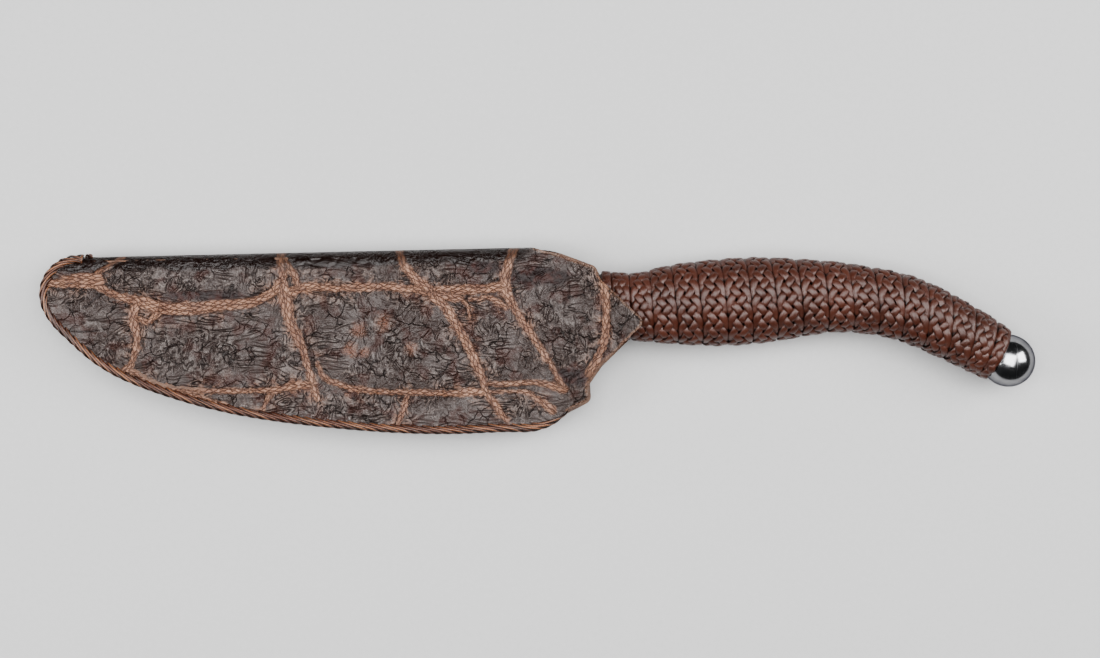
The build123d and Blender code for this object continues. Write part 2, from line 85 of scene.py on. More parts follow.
# ---- Shapes shared with the solid model -----------------------------------------------------------
TIP = (-158.0, 3.2)
BELLY = [(-154.4, -1.0), (-146.3, -8.1), (-131.6, -15.1), (-111.1, -20.9), (-85.3, -24.8), (-40.0, -26.9)]
CORNER = [(-25.9, -26.5), (-20.8, -25.8), (-18.1, -23.3)]
SEAM = 11.3
FOLD_END = (-21.8, 17.4)
FRONT_MOUTH = [
    (-4.2, -28.6),
    (-4.8, -23.9),
    (-0.6, -18.0),
    (12.6, -5.2),
    (-0.6, 7.3),
    (-2.7, 11.2),
    (-12.7, 14.8),
]
MOUTH_ROUNDING = [1.5, 1.5, 2.5, 2.4, 2.5, 1.5, 8.0]
HALF = 4.45  # sheath's half thickness over the spine
WEDGE = 0.032  # how fast each face closes in from the ridge to the edge
WEDGE_ROUNDING = 4.0
RIDGE = 12.4  # below the fold, where the faces start to close in
TAPER = 1.3 / 75.0  # how fast each face closes in towards the tip
TAPER_START = -83.0
TAPER_ROUNDING = 6.0
FLARE = 0.22  # how fast the tongues stand away from the grip
FLARE_ROUNDING = 2.5
CORNER_CLOSING = 1.3  # how fast the face closes towards the mouth's upper corner
SKIN = 1.2
BALL_PROUD = 4.0  # ball's centre past the grip's end
BALL_FLAT = 0.8
# Centre X and Y, lean in degrees, half height and half thickness of the grip, front to back.
GRIP_SECTIONS = [
    (0.0, 0.0, 0, 10.2, 5.5),
    (11.0, -0.6, 3, 10.3, 7.2),
    (22.0, 0.1, 6, 12.0, 9.3),
    (36.0, 0.7, 6, 13.1, 10.8),
    (50.0, 1.6, 6, 12.8, 10.6),
    (68.0, 2.5, 6, 10.9, 9.4),
    (80.0, 1.5, 7, 10.4, 9.0),
    (92.0, -1.1, 0, 10.3, 9.0),
    (102.0, -5.3, -3, 10.2, 9.0),
    (110.0, -9.4, -8, 9.6, 8.8),
    (116.0, -12.7, -18, 8.8, 8.5),
    (119.5, -15.0, -28, 8.3, 8.0),
]
RING_COUNT = 18

# Creases between the scales of the skin: (X, Y, half width) along each.
CREASES = [
    [(-169.0, 6.4, 0.6), (-164.0, 6.7, 1.5), (-158.0, 7.3, 2.3), (-152.5, 7.3, 2.5)],
    [(-152.5, 9.4, 0.9), (-148.5, 11.8, 0.8), (-145.0, 14.5, 0.9)],
    [(-152.5, 5.8, 1.2), (-149.0, 3.9, 1.1), (-144.0, 2.1, 1.2), (-139.5, 0.9, 1.7), (-133.5, -0.9, 2.0)],
    [(-133.5, -0.9, 2.0), (-125.0, -1.2, 2.0), (-112.5, 0.0, 1.7), (-103.5, 1.5, 1.5), (-98.8, 3.9, 1.4)],
    [(-98.8, 3.9, 1.4), (-96.4, 7.3, 1.4), (-96.3, 11.2, 1.4), (-97.0, 15.5, 1.5)],
    [
        (-140.0, 1.5, 0.9), (-141.2, -2.4, 1.5), (-140.6, -8.0, 1.2),
        (-140.6, -12.7, 1.0), (-141.8, -17.3, 0.9),
    ],
    [(-141.8, -17.3, 0.9), (-144.5, -20.5, 1.3)],
    [(-140.6, -3.9, 0.9), (-137.0, -5.2, 0.9), (-133.9, -2.1, 1.2)],
    [
        (-141.8, -20.3, 0.9), (-137.0, -23.0, 0.5), (-131.0, -25.2, 0.6),
        (-119.0, -26.1, 0.8), (-106.5, -25.8, 0.8),
    ],
    [(-106.5, -25.8, 0.8), (-100.5, -25.8, 0.9), (-94.5, -24.8, 1.1), (-86.5, -23.9, 1.1)],
    [(-129.0, -25.8, 0.6), (-122.0, -27.9, 0.9), (-114.0, -30.5, 1.0)],
    [(-96.4, 7.3, 1.5), (-95.2, 1.5, 1.8), (-94.0, -5.2, 1.5), (-91.5, -10.0, 1.4), (-89.7, -15.2, 1.2)],
    [(-89.7, -15.2, 1.2), (-88.5, -20.0, 1.2), (-87.3, -23.9, 1.2), (-86.0, -28.0, 1.1)],
    [(-95.8, 13.0, 1.2), (-92.7, 8.8, 1.2), (-91.5, 5.2, 1.2)],
    [
        (-94.5, 3.9, 1.5), (-88.5, 5.2, 1.4), (-82.5, 5.2, 1.2),
        (-73.5, 5.2, 1.2), (-64.0, 5.5, 1.2), (-57.0, 4.8, 1.2),
    ],
    [(-57.0, 4.8, 1.2), (-52.0, 3.9, 1.5)],
    [(-61.8, 17.0, 1.2), (-60.0, 12.7, 1.2), (-57.6, 9.1, 1.2), (-54.5, 6.1, 1.5), (-51.0, 3.3, 1.8)],
    [(-51.0, 3.3, 1.8), (-48.0, 0.0, 1.5), (-45.5, -3.6, 1.4), (-42.5, -8.5, 1.4), (-40.0, -13.3, 1.4)],
    [(-40.0, -13.3, 1.4), (-37.6, -18.8, 1.4), (-35.8, -23.0, 1.2), (-35.2, -26.1, 1.2)],
    [(-35.2, -26.4, 1.1), (-32.1, -30.6, 0.9), (-29.0, -34.5, 0.9)],
    [(-51.0, 4.2, 1.2), (-43.0, 4.5, 1.5), (-36.4, 4.8, 1.4), (-29.7, 5.5, 1.5)],
    [(-26.5, 17.5, 1.6), (-28.2, 12.4, 1.4), (-29.1, 8.8, 1.5), (-29.1, 4.8, 1.5), (-27.6, 0.9, 1.2)],
    [(-27.6, 0.9, 1.2), (-25.5, -2.7, 1.1), (-22.4, -7.3, 1.1), (-19.4, -12.1, 1.0), (-16.4, -17.0, 0.9)],
    [(-16.4, -17.0, 0.9), (-13.9, -21.2, 0.9), (-11.8, -24.8, 1.3)],
    [(-47.3, 2.7, 1.5), (-43.0, 1.8, 0.9), (-40.6, -0.3, 0.6), (-40.0, -3.9, 0.4)],
    [(-40.0, 1.5, 0.6), (-35.8, 2.1, 0.6), (-31.5, 1.2, 0.9), (-29.0, -0.9, 0.8)],
    [(-86.0, -17.3, 0.6), (-84.2, -21.5, 0.8), (-80.6, -23.6, 0.9), (-73.5, -25.5, 0.9), (-64.0, -26.4, 0.9)],
    [(-64.0, -26.4, 0.9), (-54.5, -26.4, 1.0), (-46.0, -26.7, 1.0), (-35.2, -26.1, 1.2)],
    [(-35.2, -23.9, 0.8), (-28.0, -23.9, 0.9), (-19.0, -23.6, 0.9), (-11.8, -25.2, 1.5)],
    [(-34.0, -26.4, 0.8), (-27.3, -26.1, 0.5), (-21.8, -26.7, 0.6), (-18.8, -29.1, 0.9), (-15.2, -31.5, 1.5)],
    [(-100.5, -26.1, 0.6), (-101.2, -28.8, 0.6), (-103.0, -32.5, 0.9)],
    [(-58.8, -27.3, 0.8), (-59.7, -30.9, 0.8), (-61.5, -35.5, 0.9)],
    [
        (-0.4, 8.5, 1.1), (0.9, 1.5, 1.2), (0.9, -5.2, 1.2),
        (0.6, -10.6, 1.2), (-1.5, -15.8, 1.2), (-4.0, -20.5, 1.6),
    ],
]
# Worn orange spots inside the largest scale: (X, Y, radius).
SPOTS = [
    (-66.0, -5.5, 2.7),
    (-73.3, -8.0, 2.4),
    (-57.6, -13.3, 2.1),
    (-75.8, -13.6, 2.4),
    (-71.5, -14.2, 1.8),
]
# Dark glossy places; the one under the top-left scale, at X -119.5, is painted shadow of the scale's bulge:
# (X, Y, reach along X, reach along Y).
DARK_AND_SHADOWED_PLACES = [
    (-19.5, 8.5, 11.0, 3.6),
    (-8.0, -21.5, 7.5, 3.4),
    (-119.5, 2.8, 15.0, 1.7),
    (-36.0, 11.5, 5.5, 2.6),
    (-80.0, 12.6, 13.0, 1.8),
]
# Single cracks that cross the scales: (X, Y, half width) along each.
CRACKS = [
    [(-144.1, 13.5, 0.05), (-143.9, 9.0, 0.05), (-144.2, 4.0, 0.05)],
    [(-161.0, -7.9, 0.0), (-156.0, -8.1, 0.05), (-151.5, -7.8, 0.0)],
    [(-155.5, -0.8, 0.0), (-153.5, 1.2, 0.05), (-151.4, 2.7, 0.0)],
    [(-137.7, -18.2, 0.05), (-135.5, -16.9, 0.1), (-133.2, -15.8, 0.0)],
    [(-132.1, -13.3, 0.05), (-129.0, -12.2, 0.1), (-126.4, -11.8, 0.0)],
]
# How the scales of the back are laid out: the front's, turned end for end and squeezed a little.
BACK_TURN = -150.0
BACK_SQUEEZE = 0.9
BACK_SHIFT = -1.0
BACK_REACH = (-165.0, 8.0)
BACK_SPARE = 1.0  # the back's mouth lies this far outside the front's
# Lace over the rim: distance outside the rim and share of the sheath's half thickness, on the front half.
LACE_FRONT = [(-1.9, 0.80), (-1.35, 1.00), (-0.60, 1.06), (0.08, 0.97), (0.45, 0.62), (0.52, 0.20)]
# How far a turn of the lace has gone along the rim at each of those points and at the back's.
LACE_PROGRESS = [0.0, 2.2, 5.6, 8.4, 10.1, 11.2, 12.2, 13.3, 15.0, 17.8, 21.2, 23.4]
LACE_LEAD = 0.9 * 11.2  # how far before the rim's start the first turn begins
LACE_JITTER = 0.18
LACE_SWELL = 0.10  # how much the width differs from turn to turn
LACE_STEPS = 40
LEAST_ON_RIM = 0.35  # share of a turn that must lie on the rim
LACE_REST = 1.5  # how far inside the rim the lace rests on the faces
LACE_LIFT = 0.12  # lace's centre line over them
LACE_KNOT_MARGIN = 0.30  # the tied knot inside its solid
LACE_KNOT_HALF_HEIGHT = 0.65
LACE_KNOT_POINTS = 120
LACE_KNOT_WIDTH = 0.75
LACE_KNOT_DEPTH = 0.6
LACE_AROUND = 8
# Which strand lies over at each column of crossings, left to right, for three and for five leads.
COLUMNS = {3: "/\\", 5: "/\\/\\"}
NARROW_RING = 4.5  # a narrower ring knot has three leads, a wider one five
BIGHT_SHARPNESS = 0.86  # 0 for rounded turns at the ring's edges, 1 for sharp ones
EDGE_MARGIN = 0.22  # between the centre line's turns and the ring's edge, in strand widths
BIGHT_LEVEL = 0.15  # height of a strand at its turns, between -1 under and 1 over
LIFT_SHARPNESS = 1.6
STRAND_SINK = 0.08  # all strands below the grip's outline
RING_CROWN = 0.34  # how far the ring's middle stands over its edges
UNDER_DEPTH = 0.30  # half of the way from over to under
EDGE_DIVE = 1.15  # how far strands turn down where two rings meet
# Lamps: name, place over the object's middle in metres, size in metres and share of the power.
LAMPS = [
    ("overhead", (0.02, 0.06, 0.85), 0.75, 1.0),
    ("window", (0.62, 0.16, 0.50), 0.45, 0.40),
    ("side", (-0.58, -0.06, 0.45), 0.30, 0.28),
]
MIDDLE = (-15.8, -7.3, 0.0)  # what the camera and the lamps point at
SENSOR = 36.0
WORLD_COLOUR = (0.80, 0.82, 0.85, 1.0)
WORLD_STRENGTH = 0.06


def place(points):
    """Points in millimetres about the drawing's zero, as metres in the row frame."""
    return np.asarray(points, float) * MM + np.array(ZERO)


# ---- Settings -------------------------------------------------------------------------------------
def length_setting(name, description, millimetres):
    """A length that the user can change, kept in metres."""
    metres = millimetres * MM
    return FloatProperty(name=name, description=description, default=metres, precision=5, unit="LENGTH")


def colour_setting(name, description, default):
    """A colour that the user can change."""
    return FloatVectorProperty(name=name, description=description, default=default, size=3, subtype="COLOR")


def count_setting(name, description, default, least):
    """A whole number that the user can change."""
    return IntProperty(name=name, description=description, default=default, min=least)


class KnifeSheathSettings(bpy.types.PropertyGroup):
    """Sizes and colours of the sheath's skin and lace."""

    columns: count_setting("Columns", "Mesh columns from the tip to the tongue", 540, 60)
    rows: count_setting("Rows", "Mesh rows from the rim to the fold", 150, 20)
    scale_rise: length_setting("Scale rise", "How far scales stand over creases", 0.40)
    lace_pitch: length_setting("Lace pitch", "Distance between turns of the lace", 3.3)
    lace_width: length_setting("Lace width", "Width of the lace", 0.86)
    lace_depth: length_setting("Lace thickness", "Thickness of the lace", 0.60)
    scale_dark: colour_setting("Dark scales", "Darker colour of the scales", (0.037, 0.0255, 0.0225))
    scale_light: colour_setting("Light scales", "Lighter colour of the scales", (0.070, 0.0565, 0.0530))
    crease_dark: colour_setting("Dark creases", "Darker colour of the creases", (0.148, 0.066, 0.037))
    crease_light: colour_setting("Light creases", "Lighter colour of the creases", (0.272, 0.150, 0.098))
    lace_dark: colour_setting("Lace", "Colour of the lace", (0.028, 0.0085, 0.0040))
    # colour of the lace's crests: worn colour and painted highlight
    lace_crest_wear_and_highlight: colour_setting("Worn lace", "Colour of the lace's worn crests", (0.27, 0.120, 0.056))


class KnifeGripSettings(bpy.types.PropertyGroup):
    """Sizes and colours of the plait."""

    strand_width: length_setting("Strand width", "Width of a strand", 2.38)
    strand_depth: length_setting("Strand thickness", "Thickness of a strand", 0.95)
    bight_pitch: length_setting("Bight pitch", "Distance round the grip between bights", 5.3)
    samples: count_setting("Samples", "Mesh steps between two crossings", 8, 2)
    around: count_setting("Around", "Mesh steps round a strand", 10, 4)
    strand_dark: colour_setting("Dark strands", "Darker colour of the strands", (0.033, 0.0084, 0.0043))
    strand_light: colour_setting("Light strands", "Lighter colour of the strands", (0.050, 0.0135, 0.0073))


class KnifeStageSettings(bpy.types.PropertyGroup):
    """Floor, lamps and camera."""

    view_width: length_setting("View width", "Width seen by the camera", 333.3)
    floor_side: length_setting("Floor side", "Side of the floor", 3000.0)
    lens: FloatProperty(name="Lens", description="Focal length", default=55.0, unit="CAMERA")
    lamp_power: FloatProperty(name="Power", description="Power of the main lamp", default=13.0, unit="POWER")
    floor_dark: colour_setting("Dark floor", "Darker colour of the floor", (0.44, 0.44, 0.44))
    floor_light: colour_setting("Light floor", "Lighter colour of the floor", (0.48, 0.48, 0.48))


# ---- Shader graphs --------------------------------------------------------------------------------
class Value:
    """A float socket that takes part in arithmetic."""

    def __init__(self, graph, socket):
        self.graph = graph
        self.socket = socket

    def __add__(self, other):
        return self.graph.math("ADD", self, other)

    __radd__ = __add__

    def __sub__(self, other):
        return self.graph.math("SUBTRACT", self, other)

    def __rsub__(self, other):
        return self.graph.math("SUBTRACT", other, self)

    def __mul__(self, other):
        return self.graph.math("MULTIPLY", self, other)

    __rmul__ = __mul__

    def __truediv__(self, other):
        return self.graph.math("DIVIDE", self, other)

    def __rtruediv__(self, other):
        return self.graph.math("DIVIDE", other, self)

    def wave(self, width=1.0):
        """Goes up and down between 0 and 1 as the value grows by the width."""
        return self.graph.math("PINGPONG", self, width) / width

    def round(self):
        """Turns a 0 to 1 ramp into a rounded ridge with a sharp valley."""
        return 1.0 - (1.0 - self) * (1.0 - self)

    def smooth(self, low, high):
        """0 below low, 1 above high and a smooth step between them; low may be the larger one."""
        inputs = {"Value": self, "From Min": low, "From Max": high}
        node = self.graph.node("ShaderNodeMapRange", {"interpolation_type": "SMOOTHSTEP"}, inputs)
        return self.graph.value(node, "Result")


class Graph:
    """A material's node tree, with its shader already joined to its output."""

    def __init__(self, name):
        self.material = bpy.data.materials.new(name)
        self.material.use_nodes = True
        self.tree = self.material.node_tree
        self.tree.nodes.clear()
        self.output = self.tree.nodes.new("ShaderNodeOutputMaterial")
        self.shader = self.tree.nodes.new("ShaderNodeBsdfPrincipled")
        self.tree.links.new(self.shader.outputs[0], self.output.inputs["Surface"])
        coordinates = self.tree.nodes.new("ShaderNodeTexCoord")
        self.mm = self.vector("SCALE", {"Vector": coordinates.outputs["Object"], "Scale": 1.0 / MM})

    def plug(self, socket, value):
        """Joins a value, socket or plain number to an input socket."""
        if isinstance(value, Value):
            value = value.socket
        if isinstance(value, bpy.types.NodeSocket):
            self.tree.links.new(value, socket)
        elif socket.type == "RGBA" and len(value) == 3:
            socket.default_value = (*value, 1.0)
        else:
            socket.default_value = value

    def node(self, kind, settings, inputs):
        """A node of a kind, its settings made first and then its inputs joined or filled."""
        made = self.tree.nodes.new(kind)
        for name, value in settings.items():
            setattr(made, name, value)
        for name, value in inputs.items():
            self.plug(made.inputs[name], value)
        return made

    def vector(self, operation, inputs):
        """Output of a Vector Math node."""
        return self.node("ShaderNodeVectorMath", {"operation": operation}, inputs).outputs[0]

    def value(self, node, name):
        """A node's output as a value."""
        return Value(self, node.outputs[name])

    def math(self, operation, first, second):
        """Output of a Math node as a value."""
        node = self.node("ShaderNodeMath", {"operation": operation}, {0: first, 1: second})
        return Value(self, node.outputs[0])

    def attribute(self, name):
        """A number stored on the mesh."""
        return self.value(self.node("ShaderNodeAttribute", {"attribute_name": name}, {}), "Fac")

    def stretch(self, scale, turn=0.0):
        """Millimetre coordinates scaled along each axis and turned about Z."""
        inputs = {"Vector": self.mm, "Scale": scale, "Rotation": (0, 0, math.radians(turn))}
        return self.node("ShaderNodeMapping", {}, inputs).outputs[0]

    def noise(self, scale, detail=3.0, vector=None, distortion=0.0):
        """Noise from 0 to 1 whose scale is in features per millimetre."""
        inputs = {"Vector": vector or self.mm, "Scale": scale, "Detail": detail, "Distortion": distortion}
        return self.value(self.node("ShaderNodeTexNoise", {}, inputs), "Fac")

    def cells(self, scale, vector=None):
        """Distance to the walls of random cells."""
        inputs = {"Vector": vector or self.mm, "Scale": scale}
        node = self.node("ShaderNodeTexVoronoi", {"feature": "DISTANCE_TO_EDGE"}, inputs)
        return self.value(node, "Distance")

    def warped(self, scale, amount, vector=None):
        """Coordinates pushed about by noise."""
        start = vector or self.mm
        pushed = self.node("ShaderNodeTexNoise", {}, {"Vector": start, "Scale": scale, "Detail": 2.0})
        centred = self.vector("SUBTRACT", {0: pushed.outputs["Color"], 1: (0.5, 0.5, 0.5)})
        return self.vector("ADD", {0: start, 1: self.vector("SCALE", {0: centred, "Scale": amount})})

    def mix(self, factor, first, second):
        """Colour between the first, at factor 0, and the second, at factor 1."""
        node = self.node("ShaderNodeMix", {"data_type": "RGBA"}, {})
        self.plug(node.inputs["Factor"], factor)
        self.plug(node.inputs[6], first)
        self.plug(node.inputs[7], second)
        return node.outputs[2]

    def bump(self, height, distance, strength=1.0):
        """Normal of a relief whose height runs over the distance in millimetres."""
        inputs = {"Height": height, "Distance": distance * MM, "Strength": strength}
        return self.node("ShaderNodeBump", {}, inputs).outputs["Normal"]

    def finish(self, **inputs):
        """Sets the shader's inputs by name, with underscores for spaces."""
        for name, value in inputs.items():
            self.plug(self.shader.inputs[name.replace("_", " ")], value)
        return self.material


# ---- Materials ------------------------------------------------------------------------------------
# Colours of the skin that the settings leave out.
PAINTED_CREST_SHEEN = (0.186, 0.166, 0.157)  # painted sheen on the crests of the wrinkles
PAINTED_CREST_GLINTS = (0.27, 0.234, 0.216)  # painted glints, pale flecks on the crests
# painted shade in the troughs of the wrinkles
PAINTED_VALLEY_SHADE = (0.012, 0.0068, 0.0056)
SCALE_CRACK = (0.0050, 0.0026, 0.0021)
SCALE_WASH = (0.044, 0.0155, 0.0115)  # reddish patches
CREASE_STAIN = (0.100, 0.038, 0.020)
CREASE_FLECK = (0.41, 0.265, 0.195)
NET_LINE = (0.042, 0.0155, 0.0095)  # lines between the strands of a crease
WORN_ORANGE = (0.27, 0.125, 0.080)  # worn spots of the largest scale
SCALE_EDGE = (0.26, 0.135, 0.088)  # wear on the scales beside the creases
GROOVE_BLACK = (0.010, 0.004, 0.003)
RUBBED_TAN = (0.30, 0.165, 0.105)  # wear along the mouth


def skin_wrinkles(g, fine):
    """The scales' relief, the depth of its valleys, which carries painted shade, and the cracks that split
    it.
    """
    # Long wrinkles follow the level lines of slow noise; cracks are walls of large pushed-about cells.
    long_wrinkle = (g.noise(1.0, 1.5, g.stretch((0.075, 0.22, 0.1), 36.0), 0.7) * 19.0).wave().round()
    short_wrinkle = (g.noise(1.0, 2.0, g.stretch((0.30, 0.17, 0.2), -24.0), 1.0) * 10.0).wave().round()
    pebble = g.cells(0.75, g.warped(0.5, 1.6)).smooth(0.0, 0.25)
    grain = g.cells(2.3, g.warped(1.3, 0.6)).smooth(0.0, 0.2)
    crack = g.cells(0.20, g.warped(0.22, 5.0)).smooth(0.0, 0.045)
    cracked = g.noise(0.16, 2.0).smooth(0.44, 0.56)
    where_long = g.noise(0.085, 2.0).smooth(0.44, 0.56)
    rough_place = g.noise(0.11, 3.0, g.stretch((1.0, 1.0, 1.0), 70.0)).smooth(0.40, 0.60)
    wrinkle = long_wrinkle * where_long + short_wrinkle * (1.0 - where_long)
    relief = wrinkle * (0.28 + 0.34 * rough_place) + pebble * 0.24 * rough_place + grain * 0.07 + fine * 0.14
    split = (1.0 - crack) * cracked
    # valley: where the painted shade of the wrinkles' troughs goes
    valley = (1.0 - wrinkle).smooth(0.35, 0.95) * (0.25 + 0.75 * rough_place)
    return relief, valley, split


def crease_net(g):
    """Fine net of a crease's strands: 1 on the strands and 0 in the lines between them."""
    along, across = g.attribute("along"), g.attribute("across")
    sway = (g.noise(0.4, 2.0) - 0.5) * 2.6
    first = (along * 0.62 + across * 1.65 + sway).wave()
    second = (along * 0.70 - across * 1.50 - sway).wave()
    third = (along * 0.10 + across * 1.10 + sway * 0.8).wave()
    lines = first.smooth(0.26, 0.0) + second.smooth(0.26, 0.0) * 0.85 + third.smooth(0.22, 0.0)
    return 1.0 - lines.smooth(0.0, 1.0)


def skin_material(settings):
    """Crocodile skin: wrinkled dark scales with painted sheen and glints on their crests and painted shade in
    their troughs, tan creases with a fine net, and a fold painted nearly black as shade.
    """
    g = Graph("skin leather")
    crease, groove, fold = g.attribute("crease"), g.attribute("groove"), g.attribute("fold")
    spot, cut, smooth = g.attribute("spot"), g.attribute("cut"), g.attribute("smooth")
    near, rubbed = g.attribute("near"), g.attribute("rubbed")
    broad = g.noise(0.10, 3.0)
    middle = g.noise(0.45, 4.0)
    fine = g.noise(2.8, 4.0)
    relief, valley, split = skin_wrinkles(g, fine)
    net = crease_net(g)
    crown = relief.smooth(0.30, 0.72)
    base = g.mix(broad.smooth(0.38, 0.62), settings.scale_dark, settings.scale_light)
    # painted sheen: the crests of the wrinkles made paler, as if lit from above
    base = g.mix(crown * middle.smooth(0.40, 0.66) * 0.50, base, PAINTED_CREST_SHEEN)
    # painted glints: pale flecks on the crests of the wrinkles
    base = g.mix(fine.smooth(0.54, 0.72) * crown * 0.60, base, PAINTED_CREST_GLINTS)
    # painted shade: the troughs of the wrinkles made darker
    base = g.mix(valley * 0.80, base, PAINTED_VALLEY_SHADE)
    base = g.mix(split * 0.80, base, SCALE_CRACK)
    base = g.mix(g.noise(0.18, 2.0).smooth(0.50, 0.70) * 0.6, base, SCALE_WASH)
    tan = g.mix(middle.smooth(0.3, 0.7), settings.crease_dark, settings.crease_light)
    tan = g.mix(g.noise(0.2, 2.0).smooth(0.46, 0.70) * 0.60, tan, CREASE_STAIN)
    tan = g.mix(fine.smooth(0.55, 0.75) * 0.5, tan, CREASE_FLECK)
    tan = g.mix((1.0 - net) * 0.80, tan, NET_LINE)
    colour = g.mix(spot * fine.smooth(0.3, 0.6) * 0.42, base, WORN_ORANGE)
    colour = g.mix(near * middle.smooth(0.35, 0.65) * crown * 0.7, colour, SCALE_EDGE)
    colour = g.mix(crease * (0.70 + 0.30 * fine), colour, tan)
    colour = g.mix(groove * 0.90, colour, GROOVE_BLACK)
    # dark glossy places, one of them painted shadow under a scale's bulge, made maroon-black
    dark_and_shadow_colour = g.mix(middle.smooth(0.4, 0.7), (0.010, 0.0035, 0.0030), (0.032, 0.010, 0.0075))
    colour = g.mix(smooth * (1.0 - 0.6 * crease), colour, dark_and_shadow_colour)
    # painted shade: the band along the fold made nearly black
    fold_shade_colour = g.mix(middle, (0.0026, 0.0010, 0.0007), (0.0125, 0.0042, 0.0026))
    colour = g.mix(fold * (1.0 - 0.5 * crease), colour, fold_shade_colour)
    colour = g.mix(rubbed * fine.smooth(0.3, 0.6) * 0.42, colour, RUBBED_TAN)
    colour = g.mix(cut, colour, g.mix(fine, (0.018, 0.007, 0.004), (0.095, 0.040, 0.022)))
    quiet = 1.0 - 0.55 * smooth - 0.6 * fold
    height = ((relief - split * 0.5) * (1.0 - crease) + (net * 0.45 + fine * 0.12) * crease) * quiet
    rough = 0.30 + 0.26 * (fine - 0.5) + 0.18 * crease + 0.12 * valley - 0.12 * fold + 0.18 * smooth
    relief = g.bump(height, 0.75)
    return g.finish(Base_Color=colour, Roughness=rough, Normal=relief, Specular_IOR_Level=0.36)


def lace_material(name, dark, light):
    """Red-brown lace, worn to orange and tan on its crests with a painted highlight there, and painted shade
    along its edges.
    """
    g = Graph(name)
    across, shade = g.attribute("across"), g.attribute("shade")
    fine = g.noise(3.2, 4.0)
    broad = g.noise(0.16, 2.0)
    crest = 1.0 - across * across
    colour = g.mix(broad.smooth(0.35, 0.65), dark, (dark[0] * 2.0, dark[1] * 1.9, dark[2] * 1.8))
    # worn colour and painted highlight on the crests of the lace
    colour = g.mix((crest * fine * 1.1 + shade * 0.45).smooth(0.55, 1.05) * 0.68, colour, light)
    # painted shade: the lace's edges, where the turns meet, made nearly black
    colour = g.mix((across * across).smooth(0.40, 0.90) * 0.92, colour, (0.007, 0.0025, 0.0014))
    grain = g.noise(1.0, 3.0, g.stretch((3.0, 3.0, 3.0)))
    height = grain * 0.6 + fine * 0.4
    rough = 0.38 + 0.2 * (fine - 0.5)
    return g.finish(Base_Color=colour, Roughness=rough, Normal=g.bump(height, 0.12, 0.9))


def plait_material(settings):
    """Waxed red-brown strands, with painted shade where they dive under one another, along their edges and
    between the rings.
    """
    g = Graph("plait leather")
    across, along = g.attribute("across"), g.attribute("along")
    lift, shade = g.attribute("lift"), g.attribute("shade")
    fine = g.noise(3.0, 4.0)
    broad = g.noise(0.12, 2.0)
    lengthwise = {"X": across * 5.0, "Y": along * 0.35, "Z": shade * 40.0}
    grain = g.noise(1.0, 3.0, g.node("ShaderNodeCombineXYZ", {}, lengthwise).outputs[0])
    colour = g.mix(broad.smooth(0.3, 0.7), settings.strand_dark, settings.strand_light)
    colour = g.mix(shade * 0.38, colour, (0.074, 0.025, 0.0153))
    colour = g.mix(grain.smooth(0.50, 0.75) * 0.30, colour, (0.125, 0.056, 0.038))
    # painted shade where a strand dives under the others and where the rings meet
    colour = g.mix((1.0 - lift).smooth(0.58, 0.92) * 0.92, colour, (0.006, 0.0018, 0.0010))
    # painted shade along each strand's edges, between the strands
    colour = g.mix((across * across).smooth(0.66, 0.97) * 0.92, colour, (0.009, 0.003, 0.0018))
    height = grain * 0.7 + fine * 0.3
    rough = 0.37 + 0.20 * (grain - 0.5) + 0.16 * (fine - 0.5)
    relief = g.bump(height, 0.10, 0.8)
    return g.finish(Base_Color=colour, Roughness=rough, Normal=relief, Specular_IOR_Level=0.5)


def leather_material(name, dark, light, scale=1.0):
    """Plain smooth leather with pores and faint folds."""
    g = Graph(name)
    pores = g.cells(2.4 * scale).smooth(0.0, 0.2)
    fine = g.noise(2.0 * scale, 4.0)
    broad = g.noise(0.14 * scale, 3.0)
    colour = g.mix(broad.smooth(0.3, 0.7), dark, light)
    colour = g.mix((1.0 - pores) * 0.5, colour, (dark[0] * 0.35, dark[1] * 0.35, dark[2] * 0.35))
    colour = g.mix(fine.smooth(0.55, 0.8) * 0.3, colour, (light[0] * 1.5, light[1] * 1.5, light[2] * 1.5))
    height = pores * 0.6 + fine * 0.4
    rough = 0.5 + 0.2 * (fine - 0.5)
    return g.finish(Base_Color=colour, Roughness=rough, Normal=g.bump(height, 0.12, 0.7), Coat_Weight=0.08)


def steel_material(name, stretch, bright, rough, depth):
    """Steel with fine lines along one direction and a few scuffs."""
    g = Graph(name)
    lines = g.noise(1.0, 4.0, g.stretch(stretch))
    spots = g.noise(0.35, 5.0)
    scratches = g.cells(0.16, g.warped(0.2, 6.0, g.stretch((1.0, 0.12, 1.0), 38.0))).smooth(0.012, 0.0)
    dull = (bright * 0.72, bright * 0.72, bright * 0.75)
    tint = g.mix(spots.smooth(0.35, 0.75), (bright, bright, bright * 1.02), dull)
    tint = g.mix(scratches * 0.35, tint, (bright * 0.45, bright * 0.45, bright * 0.45))
    roughness = rough + 0.10 * (lines - 0.5) + 0.10 * spots.smooth(0.5, 0.8) + 0.12 * scratches
    relief = g.bump(lines - scratches * 0.6, depth, 0.5)
    edge = (0.22, 0.22, 0.24)
    return g.finish(Base_Color=tint, Metallic=1.0, Roughness=roughness, Normal=relief, Specular_Tint=edge)


def wood_material():
    """Pale hardwood with its grain along the grip."""
    g = Graph("core wood")
    rings = g.noise(1.0, 4.0, g.stretch((0.06, 0.9, 0.9)), 0.6)
    colour = g.mix(rings.smooth(0.3, 0.7), (0.16, 0.085, 0.04), (0.34, 0.20, 0.105))
    return g.finish(Base_Color=colour, Roughness=0.6 + 0.1 * (rings - 0.5), Normal=g.bump(rings, 0.05, 0.6))


